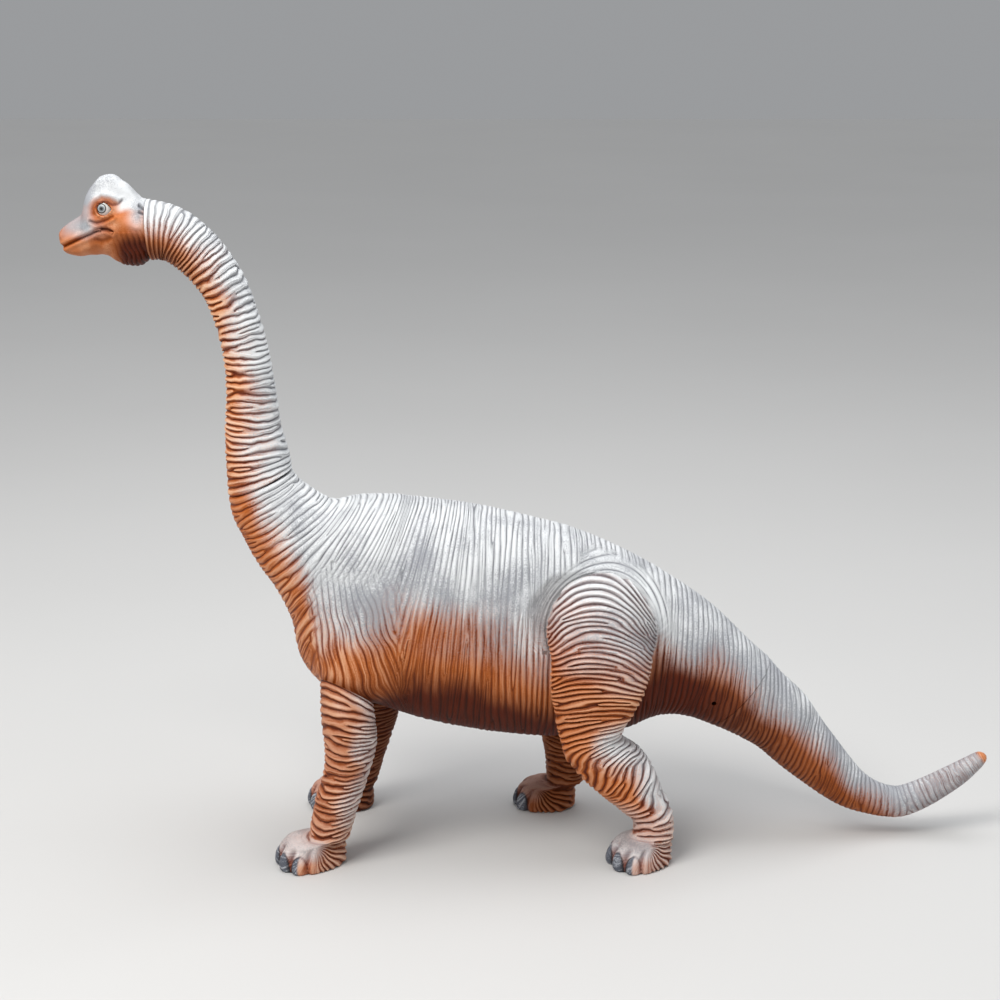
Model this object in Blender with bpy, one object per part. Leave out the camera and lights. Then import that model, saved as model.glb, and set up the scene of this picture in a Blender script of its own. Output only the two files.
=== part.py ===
# Long-necked toy dinosaur, a hollow soft vinyl figure made of eight moulded shells.
# The shells push together: each limb, the neck, the head and the tail ends in a round
# collar with a locking lip, which snaps through a round hole in the shell that carries it
# and then turns there by hand. Lengths are in metres. The head looks along -X, the tail
# points along +X, the animal's left side is -Y, and the four soles stand on Z = 0.

import bmesh
import bpy
from math import cos, pi, radians, sin
from mathutils import Vector

# Shells and joints
WALL = 0.0024
SEAT_GAP = 0.0003
OVERRUN = 0.0030
LIP_THICKNESS = 0.0016
LIP_REACH = 0.0018
COLLAR_WALL = 0.0022
VENT_RADIUS = 0.0011
MERGE_DISTANCE = 0.000001
SMOOTH_ANGLE = radians(50)

# Torso
TORSO_LENGTH = 0.2100
TORSO_DEPTH = 0.0996
TORSO_WIDTH = 0.0770
SHOULDER_ROUND = 0.0134
SHOULDER_HEIGHT = 0.1120
SHOULDER_LEAN = 0.0040
SHOULDER_TUCK_SHARE = 0.69
SHOULDER_SINK_SHARE = 0.7
SKIN_BLEND = 0.0080
VENT_AHEAD = 0.0126
VENT_HEIGHT = 0.0694
TORSO_SIDES = 36
TORSO_STATIONS = 31
HOLLOW_SIDES = 14
VENT_SIDES = 12
PROBE_STEPS = 18
SEAM_ROWS = 3

# Neck
NECK_SEAM_HEIGHT = 0.1640
NECK_SEAM_RADIUS = 0.0151
NECK_SEAM_LEAN = radians(23.4)
NECK_COLLAR_RADIUS = 0.0090
NECK_REACH = 0.0432
NECK_RISE = 0.1096
NECK_SIDES = 22
NECK_STATIONS = 22

# Head
HEAD_SEAM_RADIUS = 0.0130
HEAD_SEAM_PITCH = radians(2.9)
HEAD_COLLAR_RADIUS = 0.0066
HEAD_LENGTH = 0.0382
HEAD_HEIGHT = 0.0386
HEAD_WIDTH = 0.0256
HEAD_DROP = 0.0153
LIP_EDGE = 0.0008
MOUTH_DEPTH = 0.0010
EYE_RADIUS = 0.0031
EYE_SIDES = 12
HEAD_STATIONS = 17
HEAD_SIDES = 20
CROWN_WIDTH_SHARE = 0.60
CROWN_DROP_SHARE = 0.04
CREST_DROP_SHARE = 0.16
BROW_WIDTH_SHARE = 0.75
BROW_DROP_SHARE = 0.34
LIP_WIDTH_SHARE = 0.98
CHOP_WIDTH_SHARE = 0.3
JAW_RISE_SHARE = 0.14
CHIN_WIDTH_SHARE = 0.55
CHIN_RISE_SHARE = 0.03
HEAD_HOLLOW_SHARE = 0.86

# Tail
TAIL_SEAM_HEIGHT = 0.0689
TAIL_SEAM_RADIUS = 0.0200
TAIL_SEAM_PITCH = radians(42.0)
TAIL_COLLAR_RADIUS = 0.0120
TAIL_REACH = 0.1126
TAIL_SIDES = 22
TAIL_STATIONS = 24

# Fore legs
FORE_SEAT_BACK = 0.0381
FORE_SEAT_HEIGHT = 0.0780
FORE_SEAT_SPREAD = 0.0290
FORE_AXIS_SHARES = (0.415, 0.43, 0.80)
FORE_GIRTH = 0.0129
FORE_STUB_SHARE = 1.5
FORE_TRIM_SHARE = 1.3
FORE_HOLLOW_SHARE = 1.9
FORE_COLLAR_RADIUS = 0.0068
FORE_FOOT_LENGTH = 0.0312
FORE_FOOT_WIDTH = 0.0262
FORE_STEP = 0.0168
RIGHT_FORE_SETBACK = 0.0085

# Hind legs
HIP_BACK = 0.1476
HIP_HEIGHT = 0.1060
HIP_SPREAD = 0.0265
HIP_RADIUS = 0.0245
HIP_LEAN = radians(15.0)
HIP_SWING = radians(18.0)
HIP_CLEARANCE = 0.0009
HIND_COLLAR_RADIUS = 0.0100
HIND_FOOT_LENGTH = 0.0290
HIND_FOOT_WIDTH = 0.0258
LEFT_HIND_STEP = -0.0177
RIGHT_HIND_STEP = 0.0226
FOOT_SPREAD = 0.0325
FOOT_SPLAY = radians(20)
FOOT_TAPER_SHARE = 0.20
LEG_SIDES = 20
TOE_DEPTH = 0.0012
TURNED_SIDES = 24

# Each row of the torso: place along the length, height of the middle between the two seams,
# half depth, half width, and the section's own lean in degrees
TORSO_SHARES = (
    (0.0000, 1.000, 0.303, 0.392, 66.6),
    (0.0143, 0.918, 0.341, 0.436, 60.0),
    (0.0652, 0.784, 0.426, 0.532, 54.0),
    (0.1110, 0.717, 0.534, 0.655, 41.0),
    (0.1448, 0.648, 0.657, 0.775, 34.0),
    (0.1795, 0.551, 0.842, 0.880, 30.5),
    (0.2243, 0.476, 0.928, 0.950, 23.4),
    (0.3029, 0.432, 0.950, 0.990, 18.0),
    (0.4076, 0.374, 0.985, 0.985, 11.5),
    (0.5314, 0.318, 0.979, 0.905, 7.0),
    (0.6433, 0.280, 0.938, 0.825, 3.0),
    (0.7576, 0.237, 0.807, 0.745, 3.6),
    (0.8410, 0.202, 0.632, 0.670, 10.7),
    (0.8980, 0.149, 0.528, 0.610, 22.0),
    (0.9514, 0.071, 0.443, 0.560, 35.0),
    (1.0000, 0.000, 0.402, 0.519, 42.0),
)

# Each row of the neck: reach, rise and girth
NECK_SHARES = (
    (0.000, 0.000, 1.000),
    (0.019, 0.102, 0.934),
    (0.049, 0.200, 0.841),
    (0.063, 0.365, 0.722),
    (0.106, 0.529, 0.662),
    (0.201, 0.682, 0.649),
    (0.329, 0.803, 0.675),
    (0.542, 0.912, 0.728),
    (0.796, 0.985, 0.790),
    (1.000, 1.000, 0.861),
)

# Each row of the tail: reach, height of the middle over the floor and girth
TAIL_SHARES = (
    (0.000, 1.000, 1.000),
    (0.081, 0.904, 0.875),
    (0.160, 0.808, 0.810),
    (0.227, 0.684, 0.735),
    (0.292, 0.572, 0.665),
    (0.363, 0.456, 0.585),
    (0.425, 0.361, 0.515),
    (0.485, 0.293, 0.448),
    (0.544, 0.250, 0.393),
    (0.607, 0.222, 0.365),
    (0.676, 0.222, 0.350),
    (0.774, 0.292, 0.320),
    (0.886, 0.405, 0.265),
    (0.951, 0.486, 0.195),
    (0.978, 0.522, 0.130),
    (0.995, 0.543, 0.050),
)

# Each row of the head from the seam to the snout: place along the length, top, bottom and
# mouth as shares of the height, half widths at crest, cheek and jaw, and depth of the mouth
HEAD_SHARES = (
    (0.084, 0.749, 0.016, 0.40, 0.66, 1.00, 0.70, 0.0),
    (0.175, 0.845, 0.000, 0.40, 0.51, 0.985, 0.66, 0.0),
    (0.267, 0.933, 0.016, 0.40, 0.47, 0.95, 0.63, 0.0),
    (0.356, 0.995, 0.054, 0.41, 0.47, 0.92, 0.63, 0.3),
    (0.437, 1.000, 0.111, 0.42, 0.45, 0.88, 0.66, 1.0),
    (0.513, 0.977, 0.132, 0.426, 0.43, 0.84, 0.64, 1.0),
    (0.581, 0.915, 0.127, 0.396, 0.41, 0.78, 0.61, 1.0),
    (0.647, 0.826, 0.122, 0.365, 0.43, 0.70, 0.58, 1.0),
    (0.691, 0.718, 0.119, 0.345, 0.43, 0.64, 0.56, 1.0),
    (0.733, 0.583, 0.117, 0.328, 0.39, 0.58, 0.55, 1.0),
    (0.812, 0.516, 0.117, 0.292, 0.36, 0.55, 0.52, 1.0),
    (0.882, 0.474, 0.132, 0.262, 0.33, 0.51, 0.47, 1.0),
    (0.929, 0.440, 0.161, 0.243, 0.28, 0.44, 0.39, 0.8),
    (0.963, 0.402, 0.200, 0.232, 0.20, 0.33, 0.28, 0.4),
    (0.984, 0.370, 0.256, 0.300, 0.11, 0.20, 0.16, 0.0),
)
EYE_SHARES = (0.474, 0.655, 0.660)

# Each row of a fore leg: height, step forward in foot lengths, girth, and how much of the
# seat's slope is left
FORE_SHARES = (
    (1.000, 0.000, 1.00, 1.00),
    (0.880, -0.008, 0.985, 0.66),
    (0.775, -0.020, 0.95, 0.38),
    (0.680, -0.030, 0.88, 0.20),
    (0.550, 0.020, 0.79, 0.06),
    (0.398, 0.140, 0.80, 0.00),
    (0.240, 0.240, 0.735, 0.00),
    (0.167, 0.295, 0.745, 0.00),
)

# Each row of a hind leg: height, step forward in foot lengths, half depth, inner and outer
# side in hip spreads, and slope in degrees
LEFT_HIND_SHARES = (
    (1.222, 0.00, 0.27, 0.60, 0.86, 0.0),
    (1.180, 0.00, 0.57, 0.60, 1.08, 0.0),
    (1.104, 0.00, 0.84, 0.66, 1.30, 0.0),
    (1.000, 0.00, 0.975, 0.76, 1.46, 0.0),
    (0.896, 0.01, 0.900, 0.98, 1.58, 0.0),
    (0.792, 0.05, 0.850, 1.25, 1.66, 0.0),
    (0.684, 0.11, 0.715, 1.22, 1.68, 0.0),
    (0.590, 0.14, 0.590, 1.05, 1.66, 8.0),
    (0.516, 0.11, 0.551, 0.88, 1.62, 20.6),
    (0.434, -0.17, 0.584, 0.77, 1.58, 30.0),
    (0.360, -0.41, 0.535, 0.75, 1.54, 33.0),
    (0.270, -0.64, 0.425, 0.79, 1.49, 27.0),
    (0.208, -0.79, 0.372, 0.82, 1.47, 13.0),
    (0.150, -0.815, 0.370, 0.83, 1.48, 3.0),
    (0.119, -0.79, 0.395, 0.82, 1.50, 0.0),
)
RIGHT_HIND_SHARES = (
    (1.222, 0.00, 0.27, 0.60, 0.86, 0.0),
    (1.180, 0.00, 0.57, 0.60, 1.08, 0.0),
    (1.104, 0.00, 0.84, 0.66, 1.30, 0.0),
    (1.000, 0.00, 0.975, 0.76, 1.46, 0.0),
    (0.896, 0.02, 0.900, 0.98, 1.58, 0.0),
    (0.792, 0.07, 0.850, 1.27, 1.66, 0.0),
    (0.684, 0.22, 0.730, 1.25, 1.68, -6.0),
    (0.560, 0.41, 0.600, 1.04, 1.64, -8.0),
    (0.440, 0.46, 0.515, 0.82, 1.58, -2.0),
    (0.340, 0.46, 0.460, 0.77, 1.53, 0.0),
    (0.250, 0.45, 0.400, 0.80, 1.50, 0.0),
    (0.170, 0.46, 0.372, 0.82, 1.49, 0.0),
    (0.125, 0.475, 0.378, 0.82, 1.50, 0.0),
)

# Each row of a foot: height in foot lengths, middle and half length in foot lengths, half
# width in foot widths, and how deep the toes are parted
FOOT_SHARES = (
    (0.360, -0.085, 0.433, 0.40, 0.3),
    (0.250, -0.026, 0.479, 0.45, 1.0),
    (0.120, 0.000, 0.500, 0.49, 1.0),
    (0.030, 0.000, 0.494, 0.49, 1.0),
    (0.000, 0.000, 0.465, 0.46, 0.8),
)
TOE_PITCH = radians(36)
TOE_ARC = radians(80)
ARCH_POWER = 2.3
TUBE_POWER = 2.0


def clear_scene():
    for item in list(bpy.data.objects):
        bpy.data.objects.remove(item, do_unlink=True)


def plastic(name, colour, roughness):
    material = bpy.data.materials.new(name)
    material.use_nodes = True
    shader = material.node_tree.nodes["Principled BSDF"]
    shader.inputs["Base Color"].default_value = (*colour, 1.0)
    shader.inputs["Roughness"].default_value = roughness
    shader.inputs["Metallic"].default_value = 0.0
    return material


# Smooth curve through rows of numbers, read at count evenly spaced places
def smooth_rows(rows, count):
    read = []
    spans = len(rows) - 1
    for step in range(count):
        place = spans * step / (count - 1)
        i = min(int(place), spans - 1)
        t = place - i
        before = rows[max(i - 1, 0)]
        after = rows[min(i + 2, spans)]
        row = []
        for a, b, c, d in zip(before, rows[i], rows[i + 1], after):
            curve = 2 * b + (c - a) * t + (2 * a - 5 * b + 4 * c - d) * t ** 2
            row.append((curve + (3 * b - a - 3 * c + d) * t ** 3) / 2)
        read.append(row)
    return read


# Closed ring of points round a centre, in the plane of up and side
def oval(centre, up, side, half_up, half_side, power, sides):
    ring = []
    for k in range(sides):
        angle = 2 * pi * k / sides
        u = cos(angle)
        v = sin(angle)
        size = (abs(u) ** power + abs(v) ** power) ** (-1 / power)
        ring.append(centre + up * (half_up * u * size) + side * (half_side * v * size))
    return ring


# Closed skin through a row of rings that all have as many points
def loft(name, rings, origin, material=None):
    sides = len(rings[0])
    body = bmesh.new()
    bmesh.ops.create_grid(body, x_segments=sides, y_segments=len(rings) - 1, size=0.5)
    for vert in body.verts:
        across = round((vert.co.x + 0.5) * sides)
        along = round((vert.co.y + 0.5) * (len(rings) - 1))
        vert.co = rings[along][across % sides]
    bmesh.ops.remove_doubles(body, verts=body.verts, dist=MERGE_DISTANCE)
    ends = [edge for edge in body.edges if edge.is_boundary]
    bmesh.ops.edgeloop_fill(body, edges=ends)
    bmesh.ops.recalc_face_normals(body, faces=body.faces)
    bmesh.ops.translate(body, verts=body.verts, vec=-origin)
    mesh = bpy.data.meshes.new(name)
    body.to_mesh(mesh)
    body.free()
    mesh.shade_smooth()
    mesh.set_sharp_from_angle(angle=SMOOTH_ANGLE)
    piece = bpy.data.objects.new(name, mesh)
    piece.location = origin
    bpy.context.collection.objects.link(piece)
    if material:
        mesh.materials.append(material)
    return piece


# Round solid about an axis, from pairs of distance along the axis and radius
def turned(name, seat, axis, profile, sides=TURNED_SIDES):
    side = Vector((0, 1, 0)) if abs(axis.y) < 0.9 else Vector((1, 0, 0))
    up = axis.cross(side).normalized()
    side = up.cross(axis).normalized()
    rings = [oval(seat + axis * t, up, side, r, r, TUBE_POWER, sides) for t, r in profile]
    return loft(name, rings, Vector((0, 0, 0)))


def combine(piece, tool, operation):
    tool.hide_render = True
    tool.display_type = "WIRE"
    change = piece.modifiers.new(tool.name, "BOOLEAN")
    change.operation = operation
    change.solver = "EXACT"
    change.object = tool


# Where two shells meet: the seat's middle, the axis that runs from the limb into the shell
# that carries it, and the radius of the limb's collar
class Seat:
    def __init__(self, name, point, inward, collar):
        self.name = name
        self.point = Vector(point)
        self.inward = Vector(inward).normalized()
        self.collar = collar

    def cylinder(self, label, start, end, radius):
        return turned(self.name + label, self.point, self.inward, ((start, radius), (end, radius)))


# Collar and locking lip on the limb, with the limb's own seat face a gap short of the seat
def add_plug(limb, seat, root):
    neck_end = WALL + SEAT_GAP
    profile = (
        (-root, seat.collar),
        (neck_end, seat.collar),
        (neck_end, seat.collar + LIP_REACH),
        (neck_end + LIP_THICKNESS, seat.collar + LIP_REACH),
    )
    combine(limb, turned(seat.name + "_plug", seat.point, seat.inward, profile), "UNION")


# Opening through the plug into the limb's own hollow
def add_bore(limb, seat, root):
    end = WALL + SEAT_GAP + LIP_THICKNESS + OVERRUN
    combine(limb, seat.cylinder("_bore", -root, end, seat.collar - COLLAR_WALL), "DIFFERENCE")


# Round hole in the carrying shell that the limb's collar passes through
def add_socket(shell, seat):
    radius = seat.collar + SEAT_GAP
    combine(shell, seat.cylinder("_hole", -OVERRUN, WALL + OVERRUN, radius), "DIFFERENCE")


# The datum is the middle between the snout's tip and the tail's tip
FRONT_REACH = NECK_REACH + HEAD_LENGTH
DATUM = (TORSO_LENGTH + TAIL_REACH - FRONT_REACH) / 2
NECK_SEAM_X = -DATUM
TAIL_SEAM_X = TORSO_LENGTH - DATUM


def seats():
    lean = NECK_SEAM_LEAN
    head_x = NECK_SEAM_X - NECK_REACH
    head_z = NECK_SEAM_HEIGHT + NECK_RISE
    neck_seam = (NECK_SEAM_X, 0, NECK_SEAM_HEIGHT)
    tail_seam = (TAIL_SEAM_X, 0, TAIL_SEAM_HEIGHT)
    into_neck = (cos(HEAD_SEAM_PITCH), 0, sin(HEAD_SEAM_PITCH))
    into_rump = (-cos(TAIL_SEAM_PITCH), 0, sin(TAIL_SEAM_PITCH))
    found = {
        "neck": Seat("neck", neck_seam, (sin(lean), 0, -cos(lean)), NECK_COLLAR_RADIUS),
        "head": Seat("head", (head_x, 0, head_z), into_neck, HEAD_COLLAR_RADIUS),
        "tail": Seat("tail", tail_seam, into_rump, TAIL_COLLAR_RADIUS),
    }
    ahead, across, rise = FORE_AXIS_SHARES
    for name, side, setback in (("left", -1, 0), ("right", 1, RIGHT_FORE_SETBACK)):
        fore = (NECK_SEAM_X + FORE_SEAT_BACK + setback, side * FORE_SEAT_SPREAD, FORE_SEAT_HEIGHT)
        hip = (NECK_SEAM_X + HIP_BACK, side * HIP_SPREAD, HIP_HEIGHT)
        into_chest = (ahead, -side * across, rise)
        into_hip = (0, -side * cos(HIP_LEAN), -sin(HIP_LEAN))
        fore_leg = name + "_fore_leg"
        hind_leg = name + "_hind_leg"
        found[fore_leg] = Seat(fore_leg, fore, into_chest, FORE_COLLAR_RADIUS)
        found[hind_leg] = Seat(hind_leg, hip, into_hip, HIND_COLLAR_RADIUS)
    return found


def smaller(a, b, blend):
    overlap = max(blend - abs(a - b), 0) / blend
    return min(a, b) - overlap * overlap * blend / 4


# Distance from a point to the rounded bar between two points
def bar_distance(point, start, end, radius):
    along = end - start
    share = max(0, min(1, (point - start).dot(along) / along.length_squared))
    return (point - start - along * share).length - radius


# The two shoulder masses, each a rounded bar from inside the chest down to the leg's seat
def shoulder_bars(places):
    bars = []
    for name in ("left_fore_leg", "right_fore_leg"):
        seat = places[name]
        low = seat.point + seat.inward * (SHOULDER_ROUND * SHOULDER_SINK_SHARE)
        tucked = seat.point.y * SHOULDER_TUCK_SHARE
        high = Vector((seat.point.x + SHOULDER_LEAN, tucked, SHOULDER_HEIGHT))
        bars.append((low, high))
    return bars


# Centre, up direction, half depth, half width and roundness of the torso's sections
def torso_sections(count):
    sections = []
    rise = NECK_SEAM_HEIGHT - TAIL_SEAM_HEIGHT
    rows = smooth_rows(TORSO_SHARES, count)
    for i, (along, height, deep, wide, lean) in enumerate(rows):
        centre = Vector((NECK_SEAM_X + along * TORSO_LENGTH, 0, TAIL_SEAM_HEIGHT + height * rise))
        half_up = deep * TORSO_DEPTH / 2
        half_side = wide * TORSO_WIDTH / 2
        angle = radians(lean)
        if i == 0:
            half_up = half_side = NECK_SEAM_RADIUS
            angle = pi / 2 - NECK_SEAM_LEAN
        if i == count - 1:
            half_up = half_side = TAIL_SEAM_RADIUS
            angle = TAIL_SEAM_PITCH
        power = TUBE_POWER + (ARCH_POWER - TUBE_POWER) * sin(pi * i / (count - 1))
        sections.append((centre, Vector((sin(angle), 0, cos(angle))), half_up, half_side, power))
    return sections


# A section's ring, pushed out wherever a shoulder mass stands proud of the plain oval
def torso_ring(section, bars):
    centre, up, half_up, half_side, power = section
    side = Vector((0, 1, 0))
    ring = []
    for point in oval(centre, up, side, half_up, half_side, power, TORSO_SIDES):
        ray = point - centre
        reach = ray.length
        ray.normalize()
        low = reach
        high = reach * 2
        for _ in range(PROBE_STEPS):
            middle = (low + high) / 2
            tried = centre + ray * middle
            gap = (middle / reach - 1) * min(half_up, half_side)
            for start, end in bars:
                gap = smaller(gap, bar_distance(tried, start, end, SHOULDER_ROUND), SKIN_BLEND)
            if gap < 0:
                low = middle
            else:
                high = middle
        ring.append(centre + ray * low)
    return ring


# Round room for the thigh's disc, opening into a flared apron that the leg swings in
def hip_recess(name, seat, radius, depth):
    across = Vector((1, 0, 0))
    up = seat.inward.cross(across).normalized()
    if up.z < 0:
        up = -up
    outline = []
    for k in range(TURNED_SIDES // 2 + 1):
        angle = 2 * pi * k / TURNED_SIDES
        outline.append(across * (radius * cos(angle)) + up * (radius * sin(angle)))
    drop = 2 * radius
    reach = radius + drop * sin(HIP_SWING)
    outline.append(across * -reach - up * drop)
    outline.append(across * reach - up * drop)
    outer = seat.point - seat.inward * HIP_SPREAD
    inner = seat.point + seat.inward * depth
    return loft(name, [[outer + p for p in outline], [inner + p for p in outline]], Vector((0, 0, 0)))


def build_torso(places, material):
    sections = torso_sections(TORSO_STATIONS)
    bars = shoulder_bars(places)
    shell = loft("torso", [torso_ring(s, bars) for s in sections], Vector((0, 0, 0)), material)

    inner = []
    side = Vector((0, 1, 0))
    for section, seat in ((sections[0], places["neck"]), (sections[-1], places["tail"])):
        centre, up, half_up, half_side, power = section
        point = centre + seat.inward * WALL
        inner.append(oval(point, up, side, half_up - WALL, half_side - WALL, power, HOLLOW_SIDES))
    middle = [oval(c, up, side, a - WALL, b - WALL, p, HOLLOW_SIDES) for c, up, a, b, p in sections[2:-2:2]]
    hollow = loft("torso_hollow", [inner[0], *middle, inner[1]], Vector((0, 0, 0)))

    for name in ("left_hind_leg", "right_hind_leg"):
        seat = places[name]
        combine(shell, seat.cylinder("_pad", -OVERRUN, HIP_SPREAD / 2, HIP_RADIUS), "UNION")
        room = HIP_RADIUS + HIP_CLEARANCE
        combine(shell, hip_recess(name + "_recess", seat, room, 0), "DIFFERENCE")
        combine(hollow, hip_recess(name + "_recess_wall", seat, room + WALL, WALL), "DIFFERENCE")
    for name in ("left_fore_leg", "right_fore_leg"):
        seat = places[name]
        root = FORE_GIRTH * FORE_STUB_SHARE
        trim = FORE_GIRTH * FORE_TRIM_SHARE
        combine(shell, seat.cylinder("_stub", -OVERRUN, root, FORE_GIRTH), "UNION")
        combine(shell, seat.cylinder("_trim", -FORE_GIRTH, 0, trim), "DIFFERENCE")
    combine(shell, hollow, "DIFFERENCE")
    for name in ("left_fore_leg", "right_fore_leg"):
        seat = places[name]
        deep = FORE_GIRTH * FORE_HOLLOW_SHARE
        room = seat.cylinder("_shoulder_hollow", WALL, deep, FORE_GIRTH - WALL)
        combine(shell, room, "DIFFERENCE")
    for seat in places.values():
        if seat.name != "head":
            add_socket(shell, seat)
    vent = Vector((TAIL_SEAM_X - VENT_AHEAD, 0, VENT_HEIGHT))
    profile = ((-TORSO_WIDTH / 2, VENT_RADIUS), (0, VENT_RADIUS))
    hole = turned("vent_hole", vent, Vector((0, 1, 0)), profile, VENT_SIDES)
    combine(shell, hole, "DIFFERENCE")
    return shell


# Rings of a round tube along a row of middles, square to its run and to the seats at its ends
def tube_rings(middles, radii, start_axis, end_axis, sides):
    rings = []
    last = len(middles) - 1
    for i, (middle, radius) in enumerate(zip(middles, radii)):
        run = (middles[min(i + 1, last)] - middles[max(i - 1, 0)]).normalized()
        pull = max(0, 1 - i / SEAM_ROWS)
        run = (run * (1 - pull) + start_axis * pull).normalized()
        if end_axis:
            pull = max(0, 1 - (last - i) / SEAM_ROWS)
            run = (run * (1 - pull) + end_axis * pull).normalized()
        side = Vector((0, 1, 0))
        up = side.cross(run).normalized()
        rings.append(oval(middle, up, side, radius, radius, TUBE_POWER, sides))
    return rings


def build_neck(places, material):
    seat = places["neck"]
    head = places["head"]
    rows = smooth_rows(NECK_SHARES, NECK_STATIONS)
    middles = [seat.point + Vector((-r * NECK_REACH, 0, h * NECK_RISE)) for r, h, g in rows]
    radii = [g * NECK_SEAM_RADIUS for r, h, g in rows]
    radii[-1] = HEAD_SEAM_RADIUS
    middles[0] -= seat.inward * SEAT_GAP
    rings = tube_rings(middles, radii, -seat.inward, -head.inward, NECK_SIDES)
    shell = loft("neck", rings, seat.point, material)
    add_plug(shell, seat, WALL / 2)

    inner_middles = [middles[0] - seat.inward * WALL, *middles[2:-2:2], head.point + head.inward * WALL]
    inner_radii = [r - WALL for r in (radii[0], *radii[2:-2:2], radii[-1])]
    inner = tube_rings(inner_middles, inner_radii, -seat.inward, -head.inward, HOLLOW_SIDES)
    combine(shell, loft("neck_hollow", inner, Vector((0, 0, 0))), "DIFFERENCE")
    add_bore(shell, seat, WALL + OVERRUN)
    add_socket(shell, head)
    return shell


def build_tail(places, material):
    seat = places["tail"]
    rows = smooth_rows(TAIL_SHARES, TAIL_STATIONS)
    middles = [Vector((TAIL_SEAM_X + r * TAIL_REACH, 0, h * TAIL_SEAM_HEIGHT)) for r, h, g in rows]
    radii = [g * TAIL_SEAM_RADIUS for r, h, g in rows]
    middles[0] -= seat.inward * SEAT_GAP
    shell = loft("tail", tube_rings(middles, radii, -seat.inward, None, TAIL_SIDES), seat.point, material)
    add_plug(shell, seat, WALL / 2)

    open_rows = [i for i in range(3, TAIL_STATIONS, 3) if radii[i] > 2 * WALL]
    inner_middles = [middles[0] - seat.inward * WALL, *(middles[i] for i in open_rows)]
    inner_radii = [radii[0] - WALL, *(radii[i] - WALL for i in open_rows)]
    inner = tube_rings(inner_middles, inner_radii, -seat.inward, None, HOLLOW_SIDES)
    combine(shell, loft("tail_hollow", inner, Vector((0, 0, 0))), "DIFFERENCE")
    add_bore(shell, seat, WALL + OVERRUN)
    return shell


# One ring of the head: crest, brow, cheek, lips with the mouth pressed in between, and jaw
def head_ring(row, head_x, base):
    along, top, bottom, mouth, crest, cheek, jaw, depth = row
    x = head_x - along * HEAD_LENGTH
    high = base + top * HEAD_HEIGHT
    low = base + bottom * HEAD_HEIGHT
    lips = base + mouth * HEAD_HEIGHT
    half = HEAD_WIDTH / 2
    tall = high - low
    brow = high - tall * BROW_DROP_SHARE
    lip = cheek * half * LIP_WIDTH_SHARE
    side = (
        (0, high),
        (crest * half * CROWN_WIDTH_SHARE, high - tall * CROWN_DROP_SHARE),
        (crest * half, high - tall * CREST_DROP_SHARE),
        ((crest + (cheek - crest) * BROW_WIDTH_SHARE) * half, brow),
        (cheek * half, (brow + lips + LIP_EDGE) / 2),
        (lip, lips + LIP_EDGE),
        (lip - depth * MOUTH_DEPTH, lips),
        ((cheek + (jaw - cheek) * CHOP_WIDTH_SHARE) * half, lips - LIP_EDGE),
        (jaw * half, low + tall * JAW_RISE_SHARE),
        (jaw * half * CHIN_WIDTH_SHARE, low + tall * CHIN_RISE_SHARE),
        (0, low),
    )
    right = [Vector((x, y, z)) for y, z in side]
    left = [Vector((x, -y, z)) for y, z in side[-2:0:-1]]
    return right + left


def build_head(places, material):
    seat = places["head"]
    base = seat.point.z - HEAD_DROP
    first = seat.point - seat.inward * SEAT_GAP
    across = Vector((0, 1, 0))
    up = across.cross(seat.inward).normalized()
    if up.z < 0:
        up = -up
    rows = smooth_rows(HEAD_SHARES, HEAD_STATIONS)
    rings = [oval(first, up, across, HEAD_SEAM_RADIUS, HEAD_SEAM_RADIUS, TUBE_POWER, HEAD_SIDES)]
    rings += [head_ring(row, seat.point.x, base) for row in rows]
    shell = loft("head", rings, seat.point, material)

    along, spread, height = EYE_SHARES
    for name, side in (("left", -1), ("right", 1)):
        eye_x = seat.point.x - along * HEAD_LENGTH
        eye = Vector((eye_x, side * spread * HEAD_WIDTH / 2, base + height * HEAD_HEIGHT))
        profile = []
        for k in range(1, EYE_SIDES // 2):
            angle = 2 * pi * k / EYE_SIDES
            profile.append((-EYE_RADIUS * cos(angle), EYE_RADIUS * sin(angle)))
        combine(shell, turned(name + "_eyeball", eye, Vector((0, side, 0)), profile, EYE_SIDES), "UNION")
    add_plug(shell, seat, WALL / 2)

    back = first - seat.inward * WALL
    narrow = HEAD_SEAM_RADIUS - WALL
    inner = [oval(back, up, across, narrow, narrow, TUBE_POWER, HOLLOW_SIDES)]
    for along, top, bottom, mouth, crest, cheek, jaw, depth in HEAD_SHARES[1:8:2]:
        height = base + (top + bottom) / 2 * HEAD_HEIGHT
        middle = Vector((seat.point.x - along * HEAD_LENGTH, 0, height))
        half_up = (top - bottom) / 2 * HEAD_HEIGHT * HEAD_HOLLOW_SHARE - WALL
        half_side = cheek * HEAD_WIDTH / 2 * HEAD_HOLLOW_SHARE - WALL
        upright = Vector((0, 0, 1))
        inner.append(oval(middle, upright, across, half_up, half_side, TUBE_POWER, HOLLOW_SIDES))
    combine(shell, loft("head_hollow", inner, Vector((0, 0, 0))), "DIFFERENCE")
    add_bore(shell, seat, WALL + OVERRUN)
    return shell


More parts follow.
